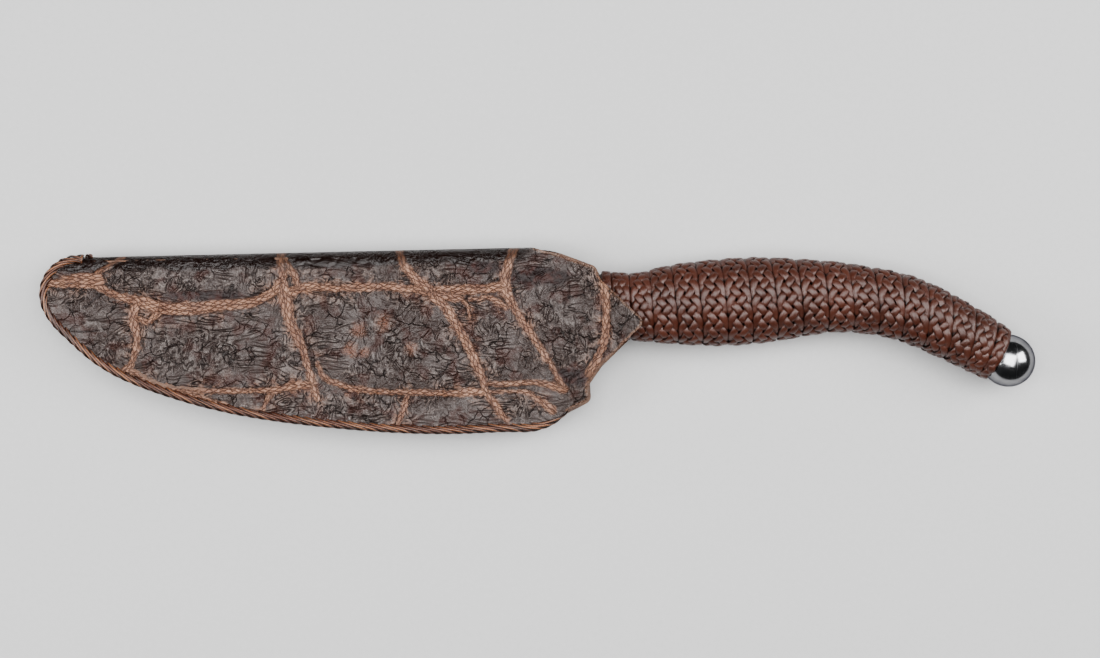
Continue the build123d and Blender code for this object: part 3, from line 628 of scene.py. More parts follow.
def brass_material():
    """Dull brass with faint marks."""
    g = Graph("pin brass")
    marks = g.noise(1.2, 4.0)
    colour = g.mix(marks.smooth(0.4, 0.7), (0.62, 0.42, 0.16), (0.48, 0.31, 0.12))
    rough = 0.3 + 0.15 * marks
    return g.finish(Base_Color=colour, Metallic=1.0, Roughness=rough, Normal=g.bump(marks, 0.02, 0.5))


def thread_material():
    """Waxed thread with its twist."""
    g = Graph("waxed thread")
    twist = g.noise(1.0, 2.0, g.stretch((3.5, 1.4, 3.5), 30.0))
    colour = g.mix(twist.smooth(0.35, 0.65), (0.16, 0.085, 0.045), (0.36, 0.23, 0.13))
    return g.finish(Base_Color=colour, Roughness=0.55 + 0.2 * (twist - 0.5), Normal=g.bump(twist, 0.08, 0.8))


def floor_material(settings):
    """Matt studio paper with a faint speckle."""
    g = Graph("floor paper")
    speck = g.noise(0.6, 4.0)
    return g.finish(Base_Color=g.mix(speck, settings.floor_dark, settings.floor_light), Roughness=0.85)


# ---- Meshes ---------------------------------------------------------------------------------------
CAP_SIDES = 16  # open ends with up to this many edges are capped


def mapped_grid(name, columns, rows, shape, weld=False):
    """An object made from a grid whose corner-to-corner shares are mapped by shape(u, v) to millimetres."""
    work = bmesh.new()
    bmesh.ops.create_grid(work, x_segments=columns, y_segments=rows, size=1.0)
    mesh = bpy.data.meshes.new(name)
    work.to_mesh(mesh)
    work.free()
    flat = np.zeros(len(mesh.vertices) * 3)
    mesh.vertices.foreach_get("co", flat)
    shares = (flat.reshape(-1, 3)[:, :2] + 1.0) / 2.0
    points, attributes = shape(shares[:, 0], shares[:, 1])
    mesh.vertices.foreach_set("co", place(points).ravel())
    for label, numbers in attributes.items():
        layer = mesh.attributes.new(label, "FLOAT", "POINT")
        layer.data.foreach_set("value", np.asarray(numbers, np.float32))
    mesh.update()
    if weld:
        work = bmesh.new()
        work.from_mesh(mesh)
        bmesh.ops.remove_doubles(work, verts=work.verts, dist=1e-6)
        ends = [edge for edge in work.edges if edge.is_boundary]
        bmesh.ops.holes_fill(work, edges=ends, sides=CAP_SIDES)
        bmesh.ops.recalc_face_normals(work, faces=work.faces)
        work.to_mesh(mesh)
        work.free()
    return linked(name, mesh)


def linked(name, data):
    """A new object of the scene that holds a mesh, lamp or camera."""
    made = bpy.data.objects.new(name, data)
    bpy.context.scene.collection.objects.link(made)
    return made


def dress(made, material, body, slot, *nodes):
    """Gives a finished piece its material, smooth shading and body, and hides the nodes it stands for; the
    slot is not used.
    """
    made.data.materials.append(material)
    made.data.shade_smooth()
    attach(made, body)
    if nodes:
        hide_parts(*nodes)


def dress_node(node, material):
    """Gives a node of the solid model its material."""
    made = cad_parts[node]
    made.data.materials.clear()
    made.data.materials.append(material)


def join_meshes(name, parts):
    """One object made of several, which are used up."""
    work = bmesh.new()
    for part in parts:
        work.from_mesh(part.data)
    mesh = bpy.data.meshes.new(name)
    work.to_mesh(mesh)
    work.free()
    for part in parts:
        old = part.data
        bpy.data.objects.remove(part)
        bpy.data.meshes.remove(old)
    return linked(name, mesh)


def unit(vector):
    """The vector made one long."""
    return np.asarray(vector) / np.linalg.norm(vector)


def lengths_along(path):
    """Distance along a path of points up to each point."""
    steps = np.linalg.norm(np.diff(path, axis=0), axis=1)
    return np.concatenate([[0.0], np.cumsum(steps)])


def resample(path, count):
    """The path with evenly spaced points."""
    path = np.asarray(path, float)
    total = lengths_along(path)
    wanted = np.linspace(0.0, total[-1], count)
    return np.stack([np.interp(wanted, total, path[:, k]) for k in range(path.shape[1])], 1)


def spline(points, count, start=None, end=None):
    """Smooth curve through points, with its end directions given or left free."""
    points = np.asarray(points, float)
    knots = lengths_along(points)
    n = len(points)
    gaps = np.diff(knots)
    rows = np.zeros((n, n))
    right = np.zeros((n, points.shape[1]))
    for i in range(1, n - 1):
        rows[i, i - 1], rows[i, i], rows[i, i + 1] = gaps[i], 2 * (gaps[i - 1] + gaps[i]), gaps[i - 1]
        before = gaps[i] * (points[i] - points[i - 1]) / gaps[i - 1]
        after = gaps[i - 1] * (points[i + 1] - points[i]) / gaps[i]
        right[i] = 3 * (before + after)
    rows[0, 0] = rows[-1, -1] = 1.0
    right[0] = (points[1] - points[0]) / gaps[0] if start is None else unit(start)
    right[-1] = (points[-1] - points[-2]) / gaps[-1] if end is None else unit(end)
    slopes = np.linalg.solve(rows, right)
    where = np.linspace(0.0, knots[-1], count)
    index = np.clip(np.searchsorted(knots, where, side="right") - 1, 0, n - 2)
    gap = gaps[index]
    t = ((where - knots[index]) / gap)[:, None]
    gap = gap[:, None]
    first, second = points[index], points[index + 1]
    return (
        (2 * t**3 - 3 * t**2 + 1) * first
        + (t**3 - 2 * t**2 + t) * gap * slopes[index]
        + (3 * t**2 - 2 * t**3) * second
        + (t**3 - t**2) * gap * slopes[index + 1]
    )


def filleted(points, radii):
    """A path whose inner corners are rounded with the radii."""
    points = np.asarray(points, float)
    path = [points[0]]
    for before, corner, after, radius in zip(points, points[1:], points[2:], radii):
        back = unit(before - corner)
        ahead = unit(after - corner)
        half = math.acos(np.clip(back @ ahead, -1.0, 1.0)) / 2
        reach = radius / math.tan(half)
        middle = corner + unit(back + ahead) * radius / math.sin(half)
        first, last = corner + back * reach - middle, corner + ahead * reach - middle
        share = np.linspace(0.0, 1.0, 9)[:, None]
        arc = first * (1 - share) + last * share
        path += list(middle + arc / np.linalg.norm(arc, axis=1)[:, None] * radius)
    path.append(points[-1])
    return np.array(path)


def offset_path(path, reach):
    """A path moved to its right-hand side by the reach."""
    along = np.gradient(path, axis=0)
    along /= np.linalg.norm(along, axis=1)[:, None]
    return path + np.stack([along[:, 1], -along[:, 0]], 1) * reach


def rim_path():
    """Rim of the sheath from where the fold begins, round the tip and the belly, to the mouth."""
    turn = np.radians(np.linspace(82.0, 206.0, 60))
    arc = np.stack([TIP[0] + SEAM * np.cos(turn), TIP[1] + SEAM * np.sin(turn)], 1)
    guide = spline([TIP] + BELLY + CORNER, 500, (0.5, -1.0), (0.77, 0.64))
    return np.concatenate([arc, offset_path(guide, SEAM)[1:]])


def smooth_step(low, high, value):
    """0 below low, 1 above high and a smooth step between them; low may be the larger one."""
    t = np.clip((value - low) / (high - low), 0.0, 1.0)
    return t * t * (3 - 2 * t)


def crease_frame(points, paths):
    """For each point: how far it is outside the nearest crease, its place along it and across it, in mm."""
    nearest, along, across = np.full(len(points), 1e9), np.zeros(len(points)), np.zeros(len(points))
    for path in paths:
        path = spline(path, 4 * len(path)) if len(path) > 2 else np.asarray(path, float)
        start = lengths_along(path[:, :2])
        for a, b, begun in zip(path, path[1:], start):
            side = b[:2] - a[:2]
            length = math.hypot(*side)
            share = np.clip(((points - a[:2]) @ side) / length**2, 0.0, 1.0)
            off = points - a[:2] - share[:, None] * side
            gap = np.hypot(off[:, 0], off[:, 1]) - (a[2] + (b[2] - a[2]) * share)
            closer = gap < nearest
            nearest = np.where(closer, gap, nearest)
            along = np.where(closer, begun + share * length, along)
            across = np.where(closer, (off[:, 1] * side[0] - off[:, 0] * side[1]) / length, across)
    return nearest, along, across


def wobble(points, size, seed):
    """Smooth noise from -1 to 1 at plan points, with features of the size in millimetres."""
    return np.array([noise.noise((x / size, y / size, seed)) for x, y in points])


RIM = rim_path()
FOLD_START = RIM[0]
FOLD_DIRECTION = unit(np.array(FOLD_END) - FOLD_START)
ABOVE_FOLD = np.array([-FOLD_DIRECTION[1], FOLD_DIRECTION[0]])
UP_MOUTH = unit(np.array(FOLD_END) - RIM[-1])
OUT_OF_MOUTH = np.array([UP_MOUTH[1], -UP_MOUTH[0]])
PATH_POINTS = 1200
FLATNESS = 0.6  # power of a strand's section: 1 is an ellipse, and less is flatter
MOUTH_FADE = 8.0  # over which a widened mouth comes back to the rim and the fold


def softened(value, reach):
    """The value where it's positive and 0 where it's negative, with a bend that is rounded over the reach."""
    return reach * np.log1p(np.exp(np.clip(value / reach, -30, 30)))


def sheath_height(points):
    """Height of the sheath's outer face at plan points, and how far they are below the fold."""
    below = -((points - np.array(FOLD_END)) @ ABOVE_FOLD)
    past = (points - np.array(FOLD_END)) @ OUT_OF_MOUTH
    closing = WEDGE * softened(below - RIDGE, WEDGE_ROUNDING)
    taper = TAPER * softened(TAPER_START - points[:, 0], TAPER_ROUNDING)
    spread = FLARE * softened(past, FLARE_ROUNDING)
    opened = np.maximum(below, 0.0) + CORNER_CLOSING * np.maximum(points[:, 0] - FOLD_END[0], 0.0)
    share = np.clip(opened / HALF, 0.0, 1.0)
    return (HALF - closing - taper) * np.sqrt(1.0 - (1.0 - share) ** 2) + spread, below


def mouth_path(spare):
    """Edge of a panel from the rim's end round the tongue to the end of the fold, moved out by the spare."""
    path = resample(filleted([RIM[-1], *FRONT_MOUTH, FOLD_END], MOUTH_ROUNDING), 300)
    lengths = lengths_along(path)
    fade = smooth_step(0.0, MOUTH_FADE, lengths) * smooth_step(0.0, MOUTH_FADE, lengths[::-1])
    return path + (offset_path(path, spare) - path) * fade[:, None]


def skin_grooves(points, gap, cracks):
    """Dark lines beside the creases and along the cracks."""
    away, _, _ = crease_frame(points, cracks)
    crack = smooth_step(0.42, 0.10, away + 0.12 * wobble(points, 1.3, 1.2))
    beside = np.exp(-(((gap - 0.15) / 0.24) ** 2)) * smooth_step(-0.35, 0.35, wobble(points, 5.0, 1.7))
    return np.maximum(beside, crack)


def skin_relief(points, gap, across, groove):
    """Height of scales, folds, crease strands and grooves over the sheath's smooth face."""
    scale = 1.0 - np.exp(-np.maximum(gap, 0.0) / 1.2)
    folds = 1.0 - np.abs(wobble(points * np.array([0.7, 1.2]), 2.6, 5.5)) * 2.2
    lump = 0.16 * wobble(points, 4.5, 2.2) - 0.26 * np.maximum(folds, 0.0) ** 2
    lump = lump + 0.06 * wobble(points, 1.1, 9.2)
    strips = 0.10 * np.cos(2.2 * across + 1.5 * wobble(points, 4.0, 6.1))
    rise = bpy.context.scene.knife_sheath.scale_rise / MM
    relief = rise * (scale - 1.0) + lump * scale + strips * (1.0 - scale) - 0.16 * groove
    return np.where(relief < 0, relief, relief * 0.3)


def worn_spots(points):
    """Ragged round places where the scale is worn to orange."""
    worn = np.zeros(len(points))
    for x, y, radius in SPOTS:
        away = np.hypot(points[:, 0] - x, points[:, 1] - y) / radius + 0.45 * wobble(points, 1.8, x)
        worn = np.maximum(worn, smooth_step(1.40, 0.30, away))
    return worn


def dark_and_shadowed_places(points):
    """Ragged long places where the skin is dark and smooth; the one under the top-left scale is painted
    shadow of its bulge.
    """
    glossy = np.zeros(len(points))
    for x, y, reach, rise in DARK_AND_SHADOWED_PLACES:
        away = np.hypot((points[:, 0] - x) / reach, (points[:, 1] - y) / rise) + 0.25 * wobble(points, 3.0, x)
        glossy = np.maximum(glossy, smooth_step(1.1, 0.55, away))
    return glossy


def painted_fold_shade(points, below):
    """Painted shade along the fold, where the skin turns away from the light, up to the mouth's upper corner.
    """
    ragged = 1.1 * wobble(points, 6.0, 4.4) + 0.6 * wobble(points, 1.8, 2.4)
    return smooth_step(5.6, 3.6, below + ragged) * smooth_step(-18.0, -26.0, points[:, 0])


def panel_shape(side, spare, creased, cracks):
    """Maps a grid to one face of the skin: u runs from the tip to the tongue, v from the rim to the fold."""
    mouth = mouth_path(spare)
    tongue = int(np.argmax(mouth[:, 0]))
    left = int(np.argmin(RIM[:, 0]))
    lower = resample(np.concatenate([RIM[left:], mouth[1 : tongue + 1]]), PATH_POINTS)
    upper = resample(np.concatenate([RIM[: left + 1][::-1], mouth[tongue:][::-1]]), PATH_POINTS)

    def shape(u, v):
        at = np.linspace(0.0, 1.0, PATH_POINTS)
        low = np.stack([np.interp(u, at, lower[:, k]) for k in (0, 1)], 1)
        high = np.stack([np.interp(u, at, upper[:, k]) for k in (0, 1)], 1)
        points = low + (high - low) * v[:, None]
        height, below = sheath_height(points)
        gap, along, across = crease_frame(points, creased)
        gap = gap + 0.40 * wobble(points, 1.7, 3.1) + 0.22 * wobble(points, 0.7, 8.7)
        groove = skin_grooves(points, gap, cracks)
        rim_fade = smooth_step(0.0, 0.03, v) * smooth_step(0.0, 0.02, 1.0 - v)
        height = height + skin_relief(points, gap, across, groove) * rim_fade - 0.05
        edge_gap, _, _ = crease_frame(points, [np.column_stack([mouth, np.zeros(len(mouth))])[::6]])
        attributes = {
            "crease": smooth_step(0.45, -0.45, gap),
            "groove": groove,
            # fold: mask of the painted shade along the fold
            "fold": painted_fold_shade(points, below),
            "spot": worn_spots(points),
            # smooth: mask of the dark glossy places, one of them painted shadow
            "smooth": dark_and_shadowed_places(points),
            "near": np.exp(-np.maximum(gap, 0.0) / 1.6),
            "along": along,
            "across": across,
            "rubbed": smooth_step(0.9, 0.2, edge_gap + 0.3 * wobble(points, 1.5, 7.7)),
            "cut": np.zeros(len(points)),
        }
        return np.stack([points[:, 0], points[:, 1], side * np.maximum(height, 0.0)], 1), attributes

    return shape


def add_cut_edges(made, side):
    """Gives a skin panel its cut thickness along its open edges, down to the liner."""
    work = bmesh.new()
    work.from_mesh(made.data)
    bmesh.ops.remove_doubles(work, verts=work.verts, dist=1e-7)
    bmesh.ops.dissolve_degenerate(work, dist=1e-7, edges=work.edges)
    bmesh.ops.recalc_face_normals(work, faces=work.faces)
    lit = sum(face.normal.z * face.calc_area() for face in work.faces)
    if lit * side < 0:
        bmesh.ops.reverse_faces(work, faces=work.faces)
    border = [edge for edge in work.edges if edge.is_boundary]
    cut = work.verts.layers.float["cut"]
    strip = bmesh.ops.extrude_edge_only(work, edges=border)
    for vert in strip["geom"]:
        if isinstance(vert, bmesh.types.BMVert):
            vert.co.z -= side * min(SKIN * MM, abs(vert.co.z - ZERO.z))
            vert[cut] = 1.0
    work.to_mesh(made.data)
    work.free()


def sweep(name, centre, normal, width, depth, around, closed, extras, press=None):
    """A flat strand along a centre line, its broad face turned to the normals, and pressed into place."""
    count = len(centre)
    if closed:
        along = np.roll(centre, -1, axis=0) - np.roll(centre, 1, axis=0)
    else:
        along = np.gradient(centre, axis=0)
    along /= np.linalg.norm(along, axis=1)[:, None]
    side = np.cross(along, normal)
    side /= np.linalg.norm(side, axis=1)[:, None]
    up = np.cross(side, along)
    steps = count if closed else count - 1
    widths = np.broadcast_to(np.asarray(width, float), (count,))

    def shape(u, v):
        index = np.rint(u * steps).astype(int) % count
        across, rise = np.cos(2.0 * math.pi * v), np.sin(2.0 * math.pi * v)
        flat = np.sign(rise) * np.abs(rise) ** FLATNESS
        points = centre[index] + side[index] * (across * widths[index] / 2)[:, None]
        points = points + up[index] * (flat * depth / 2)[:, None]
        attributes = {label: np.asarray(numbers)[index] for label, numbers in extras.items()}
        attributes["across"] = np.where(rise > -0.2, across, np.sign(across))
        return press(points, attributes, index) if press else (points, attributes)

    return mapped_grid(name, steps, around, shape, weld=True)


# ---- Skin's back and lace -------------------------------------------------------------------------
def back_creases():
    """Creases of the back: the front's, turned end for end."""
    turned = []
    for path in CREASES:
        moved = [(BACK_TURN - x, BACK_SQUEEZE * y + BACK_SHIFT, half_width) for x, y, half_width in path]
        moved = [spot for spot in moved if BACK_REACH[0] < spot[0] < BACK_REACH[1]]
        if len(moved) > 1:
            turned.append(moved)
    return turned


def lay_turn(name, progress, lengths, edge, width, depth, shade):
    """One turn of the lace from the front face round the rim to the back, at its progress along the rim."""
    curve = spline(LACE_FRONT + [(out, -up) for out, up in reversed(LACE_FRONT)], 200)
    curve_lengths = lengths_along(curve)
    gone = np.linspace(0.0, 1.0, len(progress)) * curve_lengths[-1]
    spot = np.stack([np.interp(gone, curve_lengths, curve[:, j]) for j in (0, 1)], 1)
    here = np.stack([np.interp(progress, lengths, edge[:, j]) for j in range(5)], 1)
    base, out, half = here[:, :2], here[:, 2:4], here[:, 4]
    centre = np.concatenate([base + out * spot[:, :1], (spot[:, 1] * (half + LACE_LIFT))[:, None]], 1)
    facing = np.gradient(spot * np.array([1.0, 4.0]), axis=0)
    normal = np.concatenate([out * -facing[:, 1:], facing[:, :1]], 1)
    normal /= np.linalg.norm(normal, axis=1)[:, None]
    shades = {"shade": np.full(len(progress), shade)}
    return sweep(name, centre, normal, width, depth, LACE_AROUND, False, shades)


def tie_lace_knot():
    """The knot at the lace's start, a small trefoil pulled tight on the fold."""
    low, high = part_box("lace_knot")
    middle = (np.array(low + high) / 2 - np.array(ZERO)) / MM
    half = np.array(high - low) / MM / 2 - LACE_KNOT_MARGIN
    half[1] = max(half[1], LACE_KNOT_HALF_HEIGHT)
    middle[1] = (high.y - ZERO.y) / MM - half[1] - LACE_KNOT_MARGIN
    turn = np.linspace(0.0, 2 * math.pi, LACE_KNOT_POINTS, endpoint=False)
    across = np.sin(turn) + 2 * np.sin(2 * turn)
    over = np.cos(turn) - 2 * np.cos(2 * turn)
    knot = np.stack([across, -2.6 * np.sin(3 * turn), over], 1) / 2.7
    shade = {"shade": np.full(len(turn), 0.2)}
    centre, normal = middle + knot * half, knot + np.array([0, 0.01, 0])
    return sweep("lace_start", centre, normal, LACE_KNOT_WIDTH, LACE_KNOT_DEPTH, LACE_AROUND, True, shade)


# ---- Grip -----------------------------------------------------------------------------------------
def grip_section(at):
    """Grip sections at places from 0 to 1: centre X and Y, lean, half height and half thickness."""
    table = np.array(GRIP_SECTIONS, float)
    last = len(table) - 1
    spot = np.clip(np.asarray(at, float), 0.0, 1.0) * last
    index = np.minimum(spot.astype(int), last - 1)
    t = (spot - index)[:, None]
    a, b, c, d = (table[np.clip(index + k, 0, last)] for k in (-1, 0, 1, 2))
    return 0.5 * (2 * b + (c - a) * t + (2 * a - 5 * b + 4 * c - d) * t**2 + (3 * b - a - 3 * c + d) * t**3)


def ring_places():
    """Places along the grip where the ring knots begin and end, front to back, and each one's width."""
    at = np.linspace(0.0, 1.0, 601)
    lengths = lengths_along(grip_section(at)[:, :2])
    index = np.arange(RING_COUNT)
    weights = 1 + 0.008 * index - 0.6 * (np.exp(-index / 1.1) + np.exp(-(RING_COUNT - 1 - index) / 1.1))
    ends = np.concatenate([[0.0], np.cumsum(weights) / weights.sum()]) * lengths[-1]
    return np.interp(ends, lengths, at), np.diff(ends)


def grip_surface(at, angle, inset):
    """Points and outward directions of the grip's surface; the angle runs from the top over the front."""
    rows = grip_section(at)
    lean = np.radians(rows[:, 2])
    up = np.stack([-np.sin(lean), np.cos(lean), np.zeros(len(lean))], 1)
    high, thick = rows[:, 3] - inset, rows[:, 4] - inset
    centre = np.stack([rows[:, 0], rows[:, 1], np.zeros(len(lean))], 1)
    front = np.array([0.0, 0.0, 1.0])
    points = centre + up * (high * np.cos(angle))[:, None] + front * (thick * np.sin(angle))[:, None]
    normal = up * (np.cos(angle) / high)[:, None] + front * (np.sin(angle) / thick)[:, None]
    return points, normal / np.linalg.norm(normal, axis=1)[:, None]


def even_angle(row, share):
    """Angle round a grip section at a share of the way round it, measured along the section."""
    turn = np.linspace(0.0, 2 * math.pi, 361)
    path = np.stack([row[3] * np.cos(turn), row[4] * np.sin(turn)], 1)
    lengths = lengths_along(path)
    whole = np.floor(share)
    return np.interp((share - whole) * lengths[-1], lengths, turn), lengths[-1]


def strand_lift(step, leads):
    """How high a strand lies, from -1 under to 1 over, at its steps from crossing to crossing."""
    levels = []
    for crossing in range(2 * leads + 1):
        since_turn = crossing % leads
        if since_turn == 0:
            levels.append(BIGHT_LEVEL)
            continue
        going_left = crossing % (2 * leads) < leads
        column = leads - since_turn if going_left else since_turn
        over = COLUMNS[leads][column - 1] == ("/" if going_left else "\\")
        levels.append(1.0 if over else -1.0)
    levels = np.array(levels)
    low = np.floor(step).astype(int)
    blend = 0.5 - 0.5 * np.cos(math.pi * (step - low))
    lift = levels[low] * (1 - blend) + levels[low + 1] * blend
    return np.tanh(LIFT_SHARPNESS * lift) / math.tanh(LIFT_SHARPNESS)


def strand_shade(step, zigzag):
    """A random-looking shade from 0 to 1 for each stretch between crossings, blended where they meet."""
    shade = (np.sin(np.floor(step) * 12.9898 + np.floor(zigzag) * 78.233) * 43758.5453) % 1.0
    return np.convolve(np.concatenate([shade[-3:], shade, shade[:3]]), np.ones(7) / 7, "valid")


def plait_ring(name, begin, end, width, turned, settings):
    """One ring knot: a single strand that zigzags round the grip, over and under itself."""
    samples = settings.samples
    around = settings.around
    strand_width, strand_depth = settings.strand_width / MM, settings.strand_depth / MM
    row = grip_section([(begin + end) / 2])[0]
    _, girth = even_angle(row, np.array([0.0]))
    leads = 5 if width > NARROW_RING else 3
    bights = round(girth * MM / settings.bight_pitch)
    while math.gcd(leads, bights) != 1:
        bights += 1
    t = np.linspace(0.0, 2 * math.pi, 2 * leads * bights * samples, endpoint=False)
    phase = bights * t
    zigzag = np.arcsin(BIGHT_SHARPNESS * np.cos(phase)) / math.asin(BIGHT_SHARPNESS)
    along_ring = 0.5 + (0.5 - EDGE_MARGIN * strand_width / width) * zigzag
    angle, _ = even_angle(row, leads * t / (2 * math.pi) + turned)
    step = (phase / math.pi * leads) % (2 * leads)
    lift = strand_lift(step, leads)
    crown = 1.0 - (2.0 * along_ring - 1.0) ** 2
    inset = 0.5 * strand_depth + STRAND_SINK - RING_CROWN * crown + UNDER_DEPTH * (1.0 - lift)
    centre, normal = grip_surface(begin + (end - begin) * along_ring, angle, inset)
    widths = strand_width * (0.94 + 0.08 * (lift + 1) / 2)
    shade = strand_shade(step, t * bights / math.pi)
    extras = {"lift": (lift + 1) / 2, "shade": shade, "along": t * bights * 6.0}
    lean = math.radians(row[2])
    axis = np.array([math.cos(lean), math.sin(lean), 0.0])

    def press(points, attributes, index):
        """Turns down what reaches the neighbouring rings and lowers its lift, so that a dark line of painted
        shade parts them.
        """
        place_in_ring = along_ring[index] + (points - centre[index]) @ axis / width
        aside = np.abs(2.0 * place_in_ring - 1.0)
        dive = EDGE_DIVE * smooth_step(0.88, 1.26, aside)
        # painted shade: the lift is lowered near the rings' edges, which darkens them
        attributes["lift"] = attributes["lift"] * (1.0 - smooth_step(0.90, 1.02, aside))
        return points - normal[index] * dive[:, None], attributes

    return sweep(name, centre, normal, widths, strand_depth, around, True, extras, press)


# ---- Operators ------------------------------------------------------------------------------------
class KNIFE_OT_skin(bpy.types.Operator):
    """Make the folded crocodile skin, its front and its back"""

    bl_idname = "knife.skin"
    bl_label = "Skin"

    def execute(self, context):
        settings = context.scene.knife_sheath
        columns, rows = settings.columns, settings.rows
        material = skin_material(settings)
        front = mapped_grid("skin_front", columns, rows, panel_shape(1.0, 0.0, CREASES, CRACKS))
        back_shape = panel_shape(-1.0, BACK_SPARE, back_creases(), CRACKS[:1])
        back = mapped_grid("skin_back", columns // 2, rows // 2, back_shape)
        for made, side in ((front, 1.0), (back, -1.0)):
            add_cut_edges(made, side)
            dress(made, material, "sheath", "skin_leather", "sheath_skin")
        return {"FINISHED"}


class KNIFE_OT_lace(bpy.types.Operator):
    """Lay the lace over the sheath's rim, turn by turn, and knot its start"""

    bl_idname = "knife.lace"
    bl_label = "Lace"

    def execute(self, context):
        settings = context.scene.knife_sheath
        pitch, width, depth = settings.lace_pitch / MM, settings.lace_width / MM, settings.lace_depth / MM
        rng = random.Random(11)
        rim = resample(RIM, 900)
        lengths = lengths_along(rim)
        outward = offset_path(rim, 1.0) - rim
        height, _ = sheath_height(rim - outward * LACE_REST)
        edge = np.column_stack([rim, outward, height])
        at = np.linspace(0.0, 1.0, LACE_STEPS)
        forward = np.interp(at, np.linspace(0.0, 1.0, len(LACE_PROGRESS)), LACE_PROGRESS)
        turns = []
        for k in range(int(lengths[-1] / pitch) + 2):
            progress = forward + (k * pitch - LACE_LEAD + rng.uniform(-LACE_JITTER, LACE_JITTER))
            on_rim = (progress > 0.0) & (progress < lengths[-1])
            if on_rim.mean() < LEAST_ON_RIM:
                continue
            progress = np.clip(progress, 0.5, lengths[-1] - 0.5)
            swell = 1.0 + LACE_SWELL * math.sin(k * 2.1)
            turns.append(lay_turn(f"turn_{k}", progress, lengths, edge, width * swell, depth, rng.random()))
        lace = join_meshes("lacing", turns)
        leather = lace_material("lace leather", settings.lace_dark, settings.lace_crest_wear_and_highlight)
        dress(lace, leather, "sheath", "lace_leather", "edge_lace")
        # the knot's lighter colour is its worn colour and painted highlight on its crests
        knot_leather = lace_material("lace leather knot", (0.035, 0.013, 0.008), (0.16, 0.07, 0.035))
        dress(tie_lace_knot(), knot_leather, "sheath", "lace_leather", "lace_knot")
        return {"FINISHED"}


class KNIFE_OT_ring_knots(bpy.types.Operator):
    """Plait every ring knot of the grip from one long strand"""

    bl_idname = "knife.ring_knots"
    bl_label = "Ring knots"

    def execute(self, context):
        settings = context.scene.knife_grip
        material = plait_material(settings)
        places, widths = ring_places()
        rng = random.Random(5)
        for ring, (begin, end, width) in enumerate(zip(places, places[1:], widths), start=1):
            made = plait_ring(f"plait_{ring:02d}", begin, end, width, rng.random(), settings)
            dress(made, material, "knife", "plait_leather", f"ring_knot_{ring:02d}")
        return {"FINISHED"}


class KNIFE_OT_ball(bpy.types.Operator):
    """Turn the polished ball on the grip's end"""

    bl_idname = "knife.ball"
    bl_label = "Ball"

    def execute(self, context):
        low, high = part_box("pommel_ball")
        radius = (high.z - low.z) / 2
        row = grip_section([1.0])[0]
        lean = math.radians(row[2])
        out = Vector((math.cos(lean), math.sin(lean), 0))
        centre = Vector((row[0] * MM, row[1] * MM, 0)) + ZERO + out * BALL_PROUD * MM
        work = bmesh.new()
        bmesh.ops.create_uvsphere(work, u_segments=128, v_segments=64, radius=radius)
        whole = work.verts[:] + work.edges[:] + work.faces[:]
        seat = (0, 0, BALL_FLAT * MM - radius)
        bmesh.ops.bisect_plane(work, geom=whole, plane_co=seat, plane_no=(0, 0, -1), clear_outer=True)
        bmesh.ops.contextual_create(work, geom=[edge for edge in work.edges if edge.is_boundary])
        spin = Vector((0, 0, 1)).rotation_difference(out).to_matrix().to_4x4()
        bmesh.ops.transform(work, matrix=Matrix.Translation(centre) @ spin, verts=work.verts)
        bmesh.ops.recalc_face_normals(work, faces=work.faces)
        mesh = bpy.data.meshes.new("ball")
        work.to_mesh(mesh)
        work.free()
        polished = steel_material("ball steel", (0.5, 0.5, 0.5), 0.34, 0.17, 0.004)
        dress(linked("ball", mesh), polished, "knife", "ball_steel", "pommel_ball")
        return {"FINISHED"}


class KNIFE_OT_solids(bpy.types.Operator):
    """Give the solid model's own pieces their materials"""

    bl_idname = "knife.solids"
    bl_label = "Solid pieces"

    def execute(self, context):
        liner = leather_material("liner leather", (0.075, 0.034, 0.019), (0.16, 0.078, 0.042))
        dark = leather_material("washer leather", (0.030, 0.014, 0.010), (0.055, 0.026, 0.018), 1.4)
        strap = leather_material("strap leather", (0.035, 0.016, 0.011), (0.065, 0.030, 0.020))
        dress_node("sheath_liner", liner)
        dress_node("welt", liner)
        dress_node("front_washer", dark)
        dress_node("grip_underlay", dark)
        dress_node("belt_loop", strap)
        dress_node("loop_stitching", thread_material())
        blade = steel_material("blade steel", (0.9, 14.0, 14.0), 0.56, 0.28, 0.012)
        dress_node("blade", blade)
        dress_node("pommel_seat", blade)
        dress_node("core_front", wood_material())
        dress_node("core_back", wood_material())
        dress_node("core_pins", brass_material())
        return {"FINISHED"}


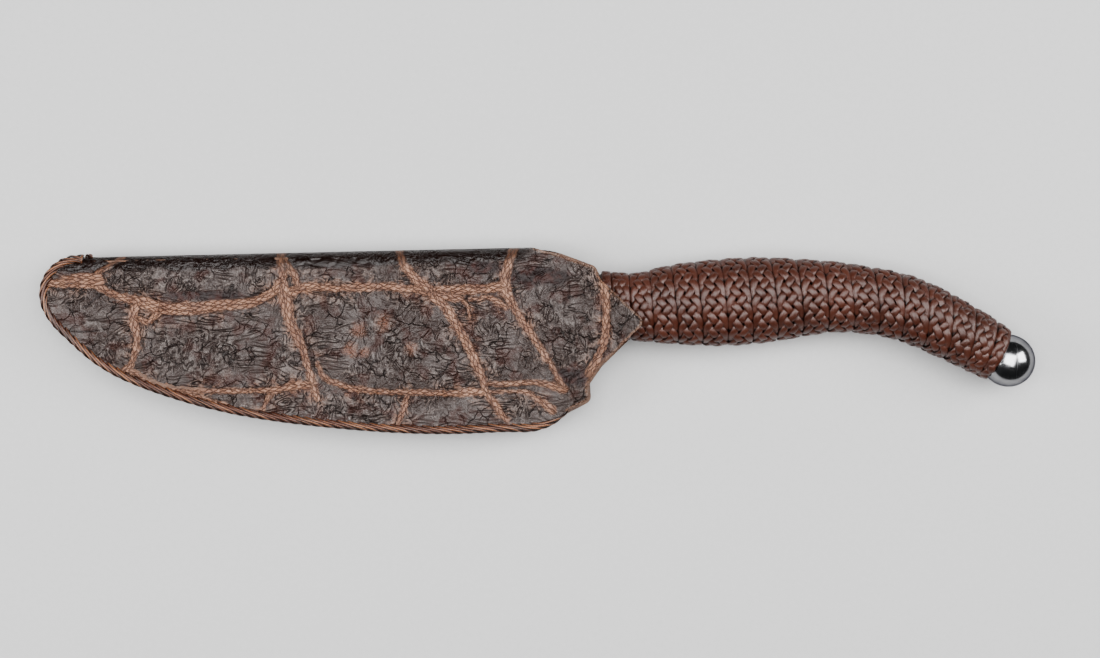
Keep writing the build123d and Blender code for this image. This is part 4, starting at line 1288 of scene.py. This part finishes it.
class KNIFE_OT_stage(bpy.types.Operator):
    """Lay the floor, hang the lamps and set the camera"""

    bl_idname = "knife.stage"
    bl_label = "Stage"

    def execute(self, context):
        settings = context.scene.knife_stage
        scene = context.scene
        work = bmesh.new()
        bmesh.ops.create_grid(work, x_segments=1, y_segments=1, size=settings.floor_side / 2)
        mesh = bpy.data.meshes.new("floor")
        work.to_mesh(mesh)
        work.free()
        floor = linked("floor", mesh)
        floor.data.materials.append(floor_material(settings))
        floor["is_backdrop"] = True
        centre = Vector(place([MIDDLE])[0])
        for name, where, side, share in LAMPS:
            data = bpy.data.lights.new(name, "AREA")
            data.size = side
            data.energy = settings.lamp_power * share
            lamp = linked(name, data)
            lamp.location = centre + Vector(where)
            lamp.rotation_euler = (centre - lamp.location).to_track_quat("-Z", "Y").to_euler()
        scene.view_settings.look = "AgX - Medium High Contrast"
        world = bpy.data.worlds.new("studio")
        scene.world = world
        world.use_nodes = True
        background = world.node_tree.nodes["Background"]
        background.inputs["Color"].default_value = WORLD_COLOUR
        background.inputs["Strength"].default_value = WORLD_STRENGTH
        data = bpy.data.cameras.new("camera")
        data.lens = settings.lens
        data.sensor_width = SENSOR
        data.dof.use_dof = False
        camera = linked("camera", data)
        camera.location = centre + Vector((0, 0, settings.view_width * settings.lens / SENSOR))
        scene.camera = camera
        return {"FINISHED"}


class KNIFE_PT_panel(bpy.types.Panel):
    """Sizes and steps of the knife's looks"""

    bl_idname = "KNIFE_PT_panel"
    bl_label = "Sheathed knife"
    bl_space_type = "VIEW_3D"
    bl_region_type = "UI"
    bl_category = "Knife"

    def draw(self, context):
        scene = context.scene
        for settings in (scene.knife_sheath, scene.knife_grip, scene.knife_stage):
            box = self.layout.box()
            for name in settings.bl_rna.properties.keys():
                if name not in ("rna_type", "name"):
                    box.prop(settings, name)
        for step in STEPS:
            self.layout.operator(step.bl_idname)


STEPS = (KNIFE_OT_solids, KNIFE_OT_skin, KNIFE_OT_lace, KNIFE_OT_ring_knots, KNIFE_OT_ball, KNIFE_OT_stage)
CLASSES = (KnifeSheathSettings, KnifeGripSettings, KnifeStageSettings, *STEPS, KNIFE_PT_panel)


def register():
    """Adds the classes and their settings."""
    for item in CLASSES:
        bpy.utils.register_class(item)
    bpy.types.Scene.knife_sheath = PointerProperty(type=KnifeSheathSettings)
    bpy.types.Scene.knife_grip = PointerProperty(type=KnifeGripSettings)
    bpy.types.Scene.knife_stage = PointerProperty(type=KnifeStageSettings)


def unregister():
    """Takes the settings and the classes away again."""
    del bpy.types.Scene.knife_sheath
    del bpy.types.Scene.knife_grip
    del bpy.types.Scene.knife_stage
    for item in reversed(CLASSES):
        bpy.utils.unregister_class(item)


def main():
    """Builds the looks step by step."""
    register()
    bpy.ops.knife.solids()
    bpy.ops.knife.skin()
    bpy.ops.knife.lace()
    bpy.ops.knife.ring_knots()
    bpy.ops.knife.ball()
    bpy.ops.knife.stage()
    bounds_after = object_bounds()
    sizes = {"before": bounds_before, "after": bounds_after}
    sizes = {when: [list(corner) for corner in corners] for when, corners in sizes.items()}


if __name__ == "__main__":
    main()
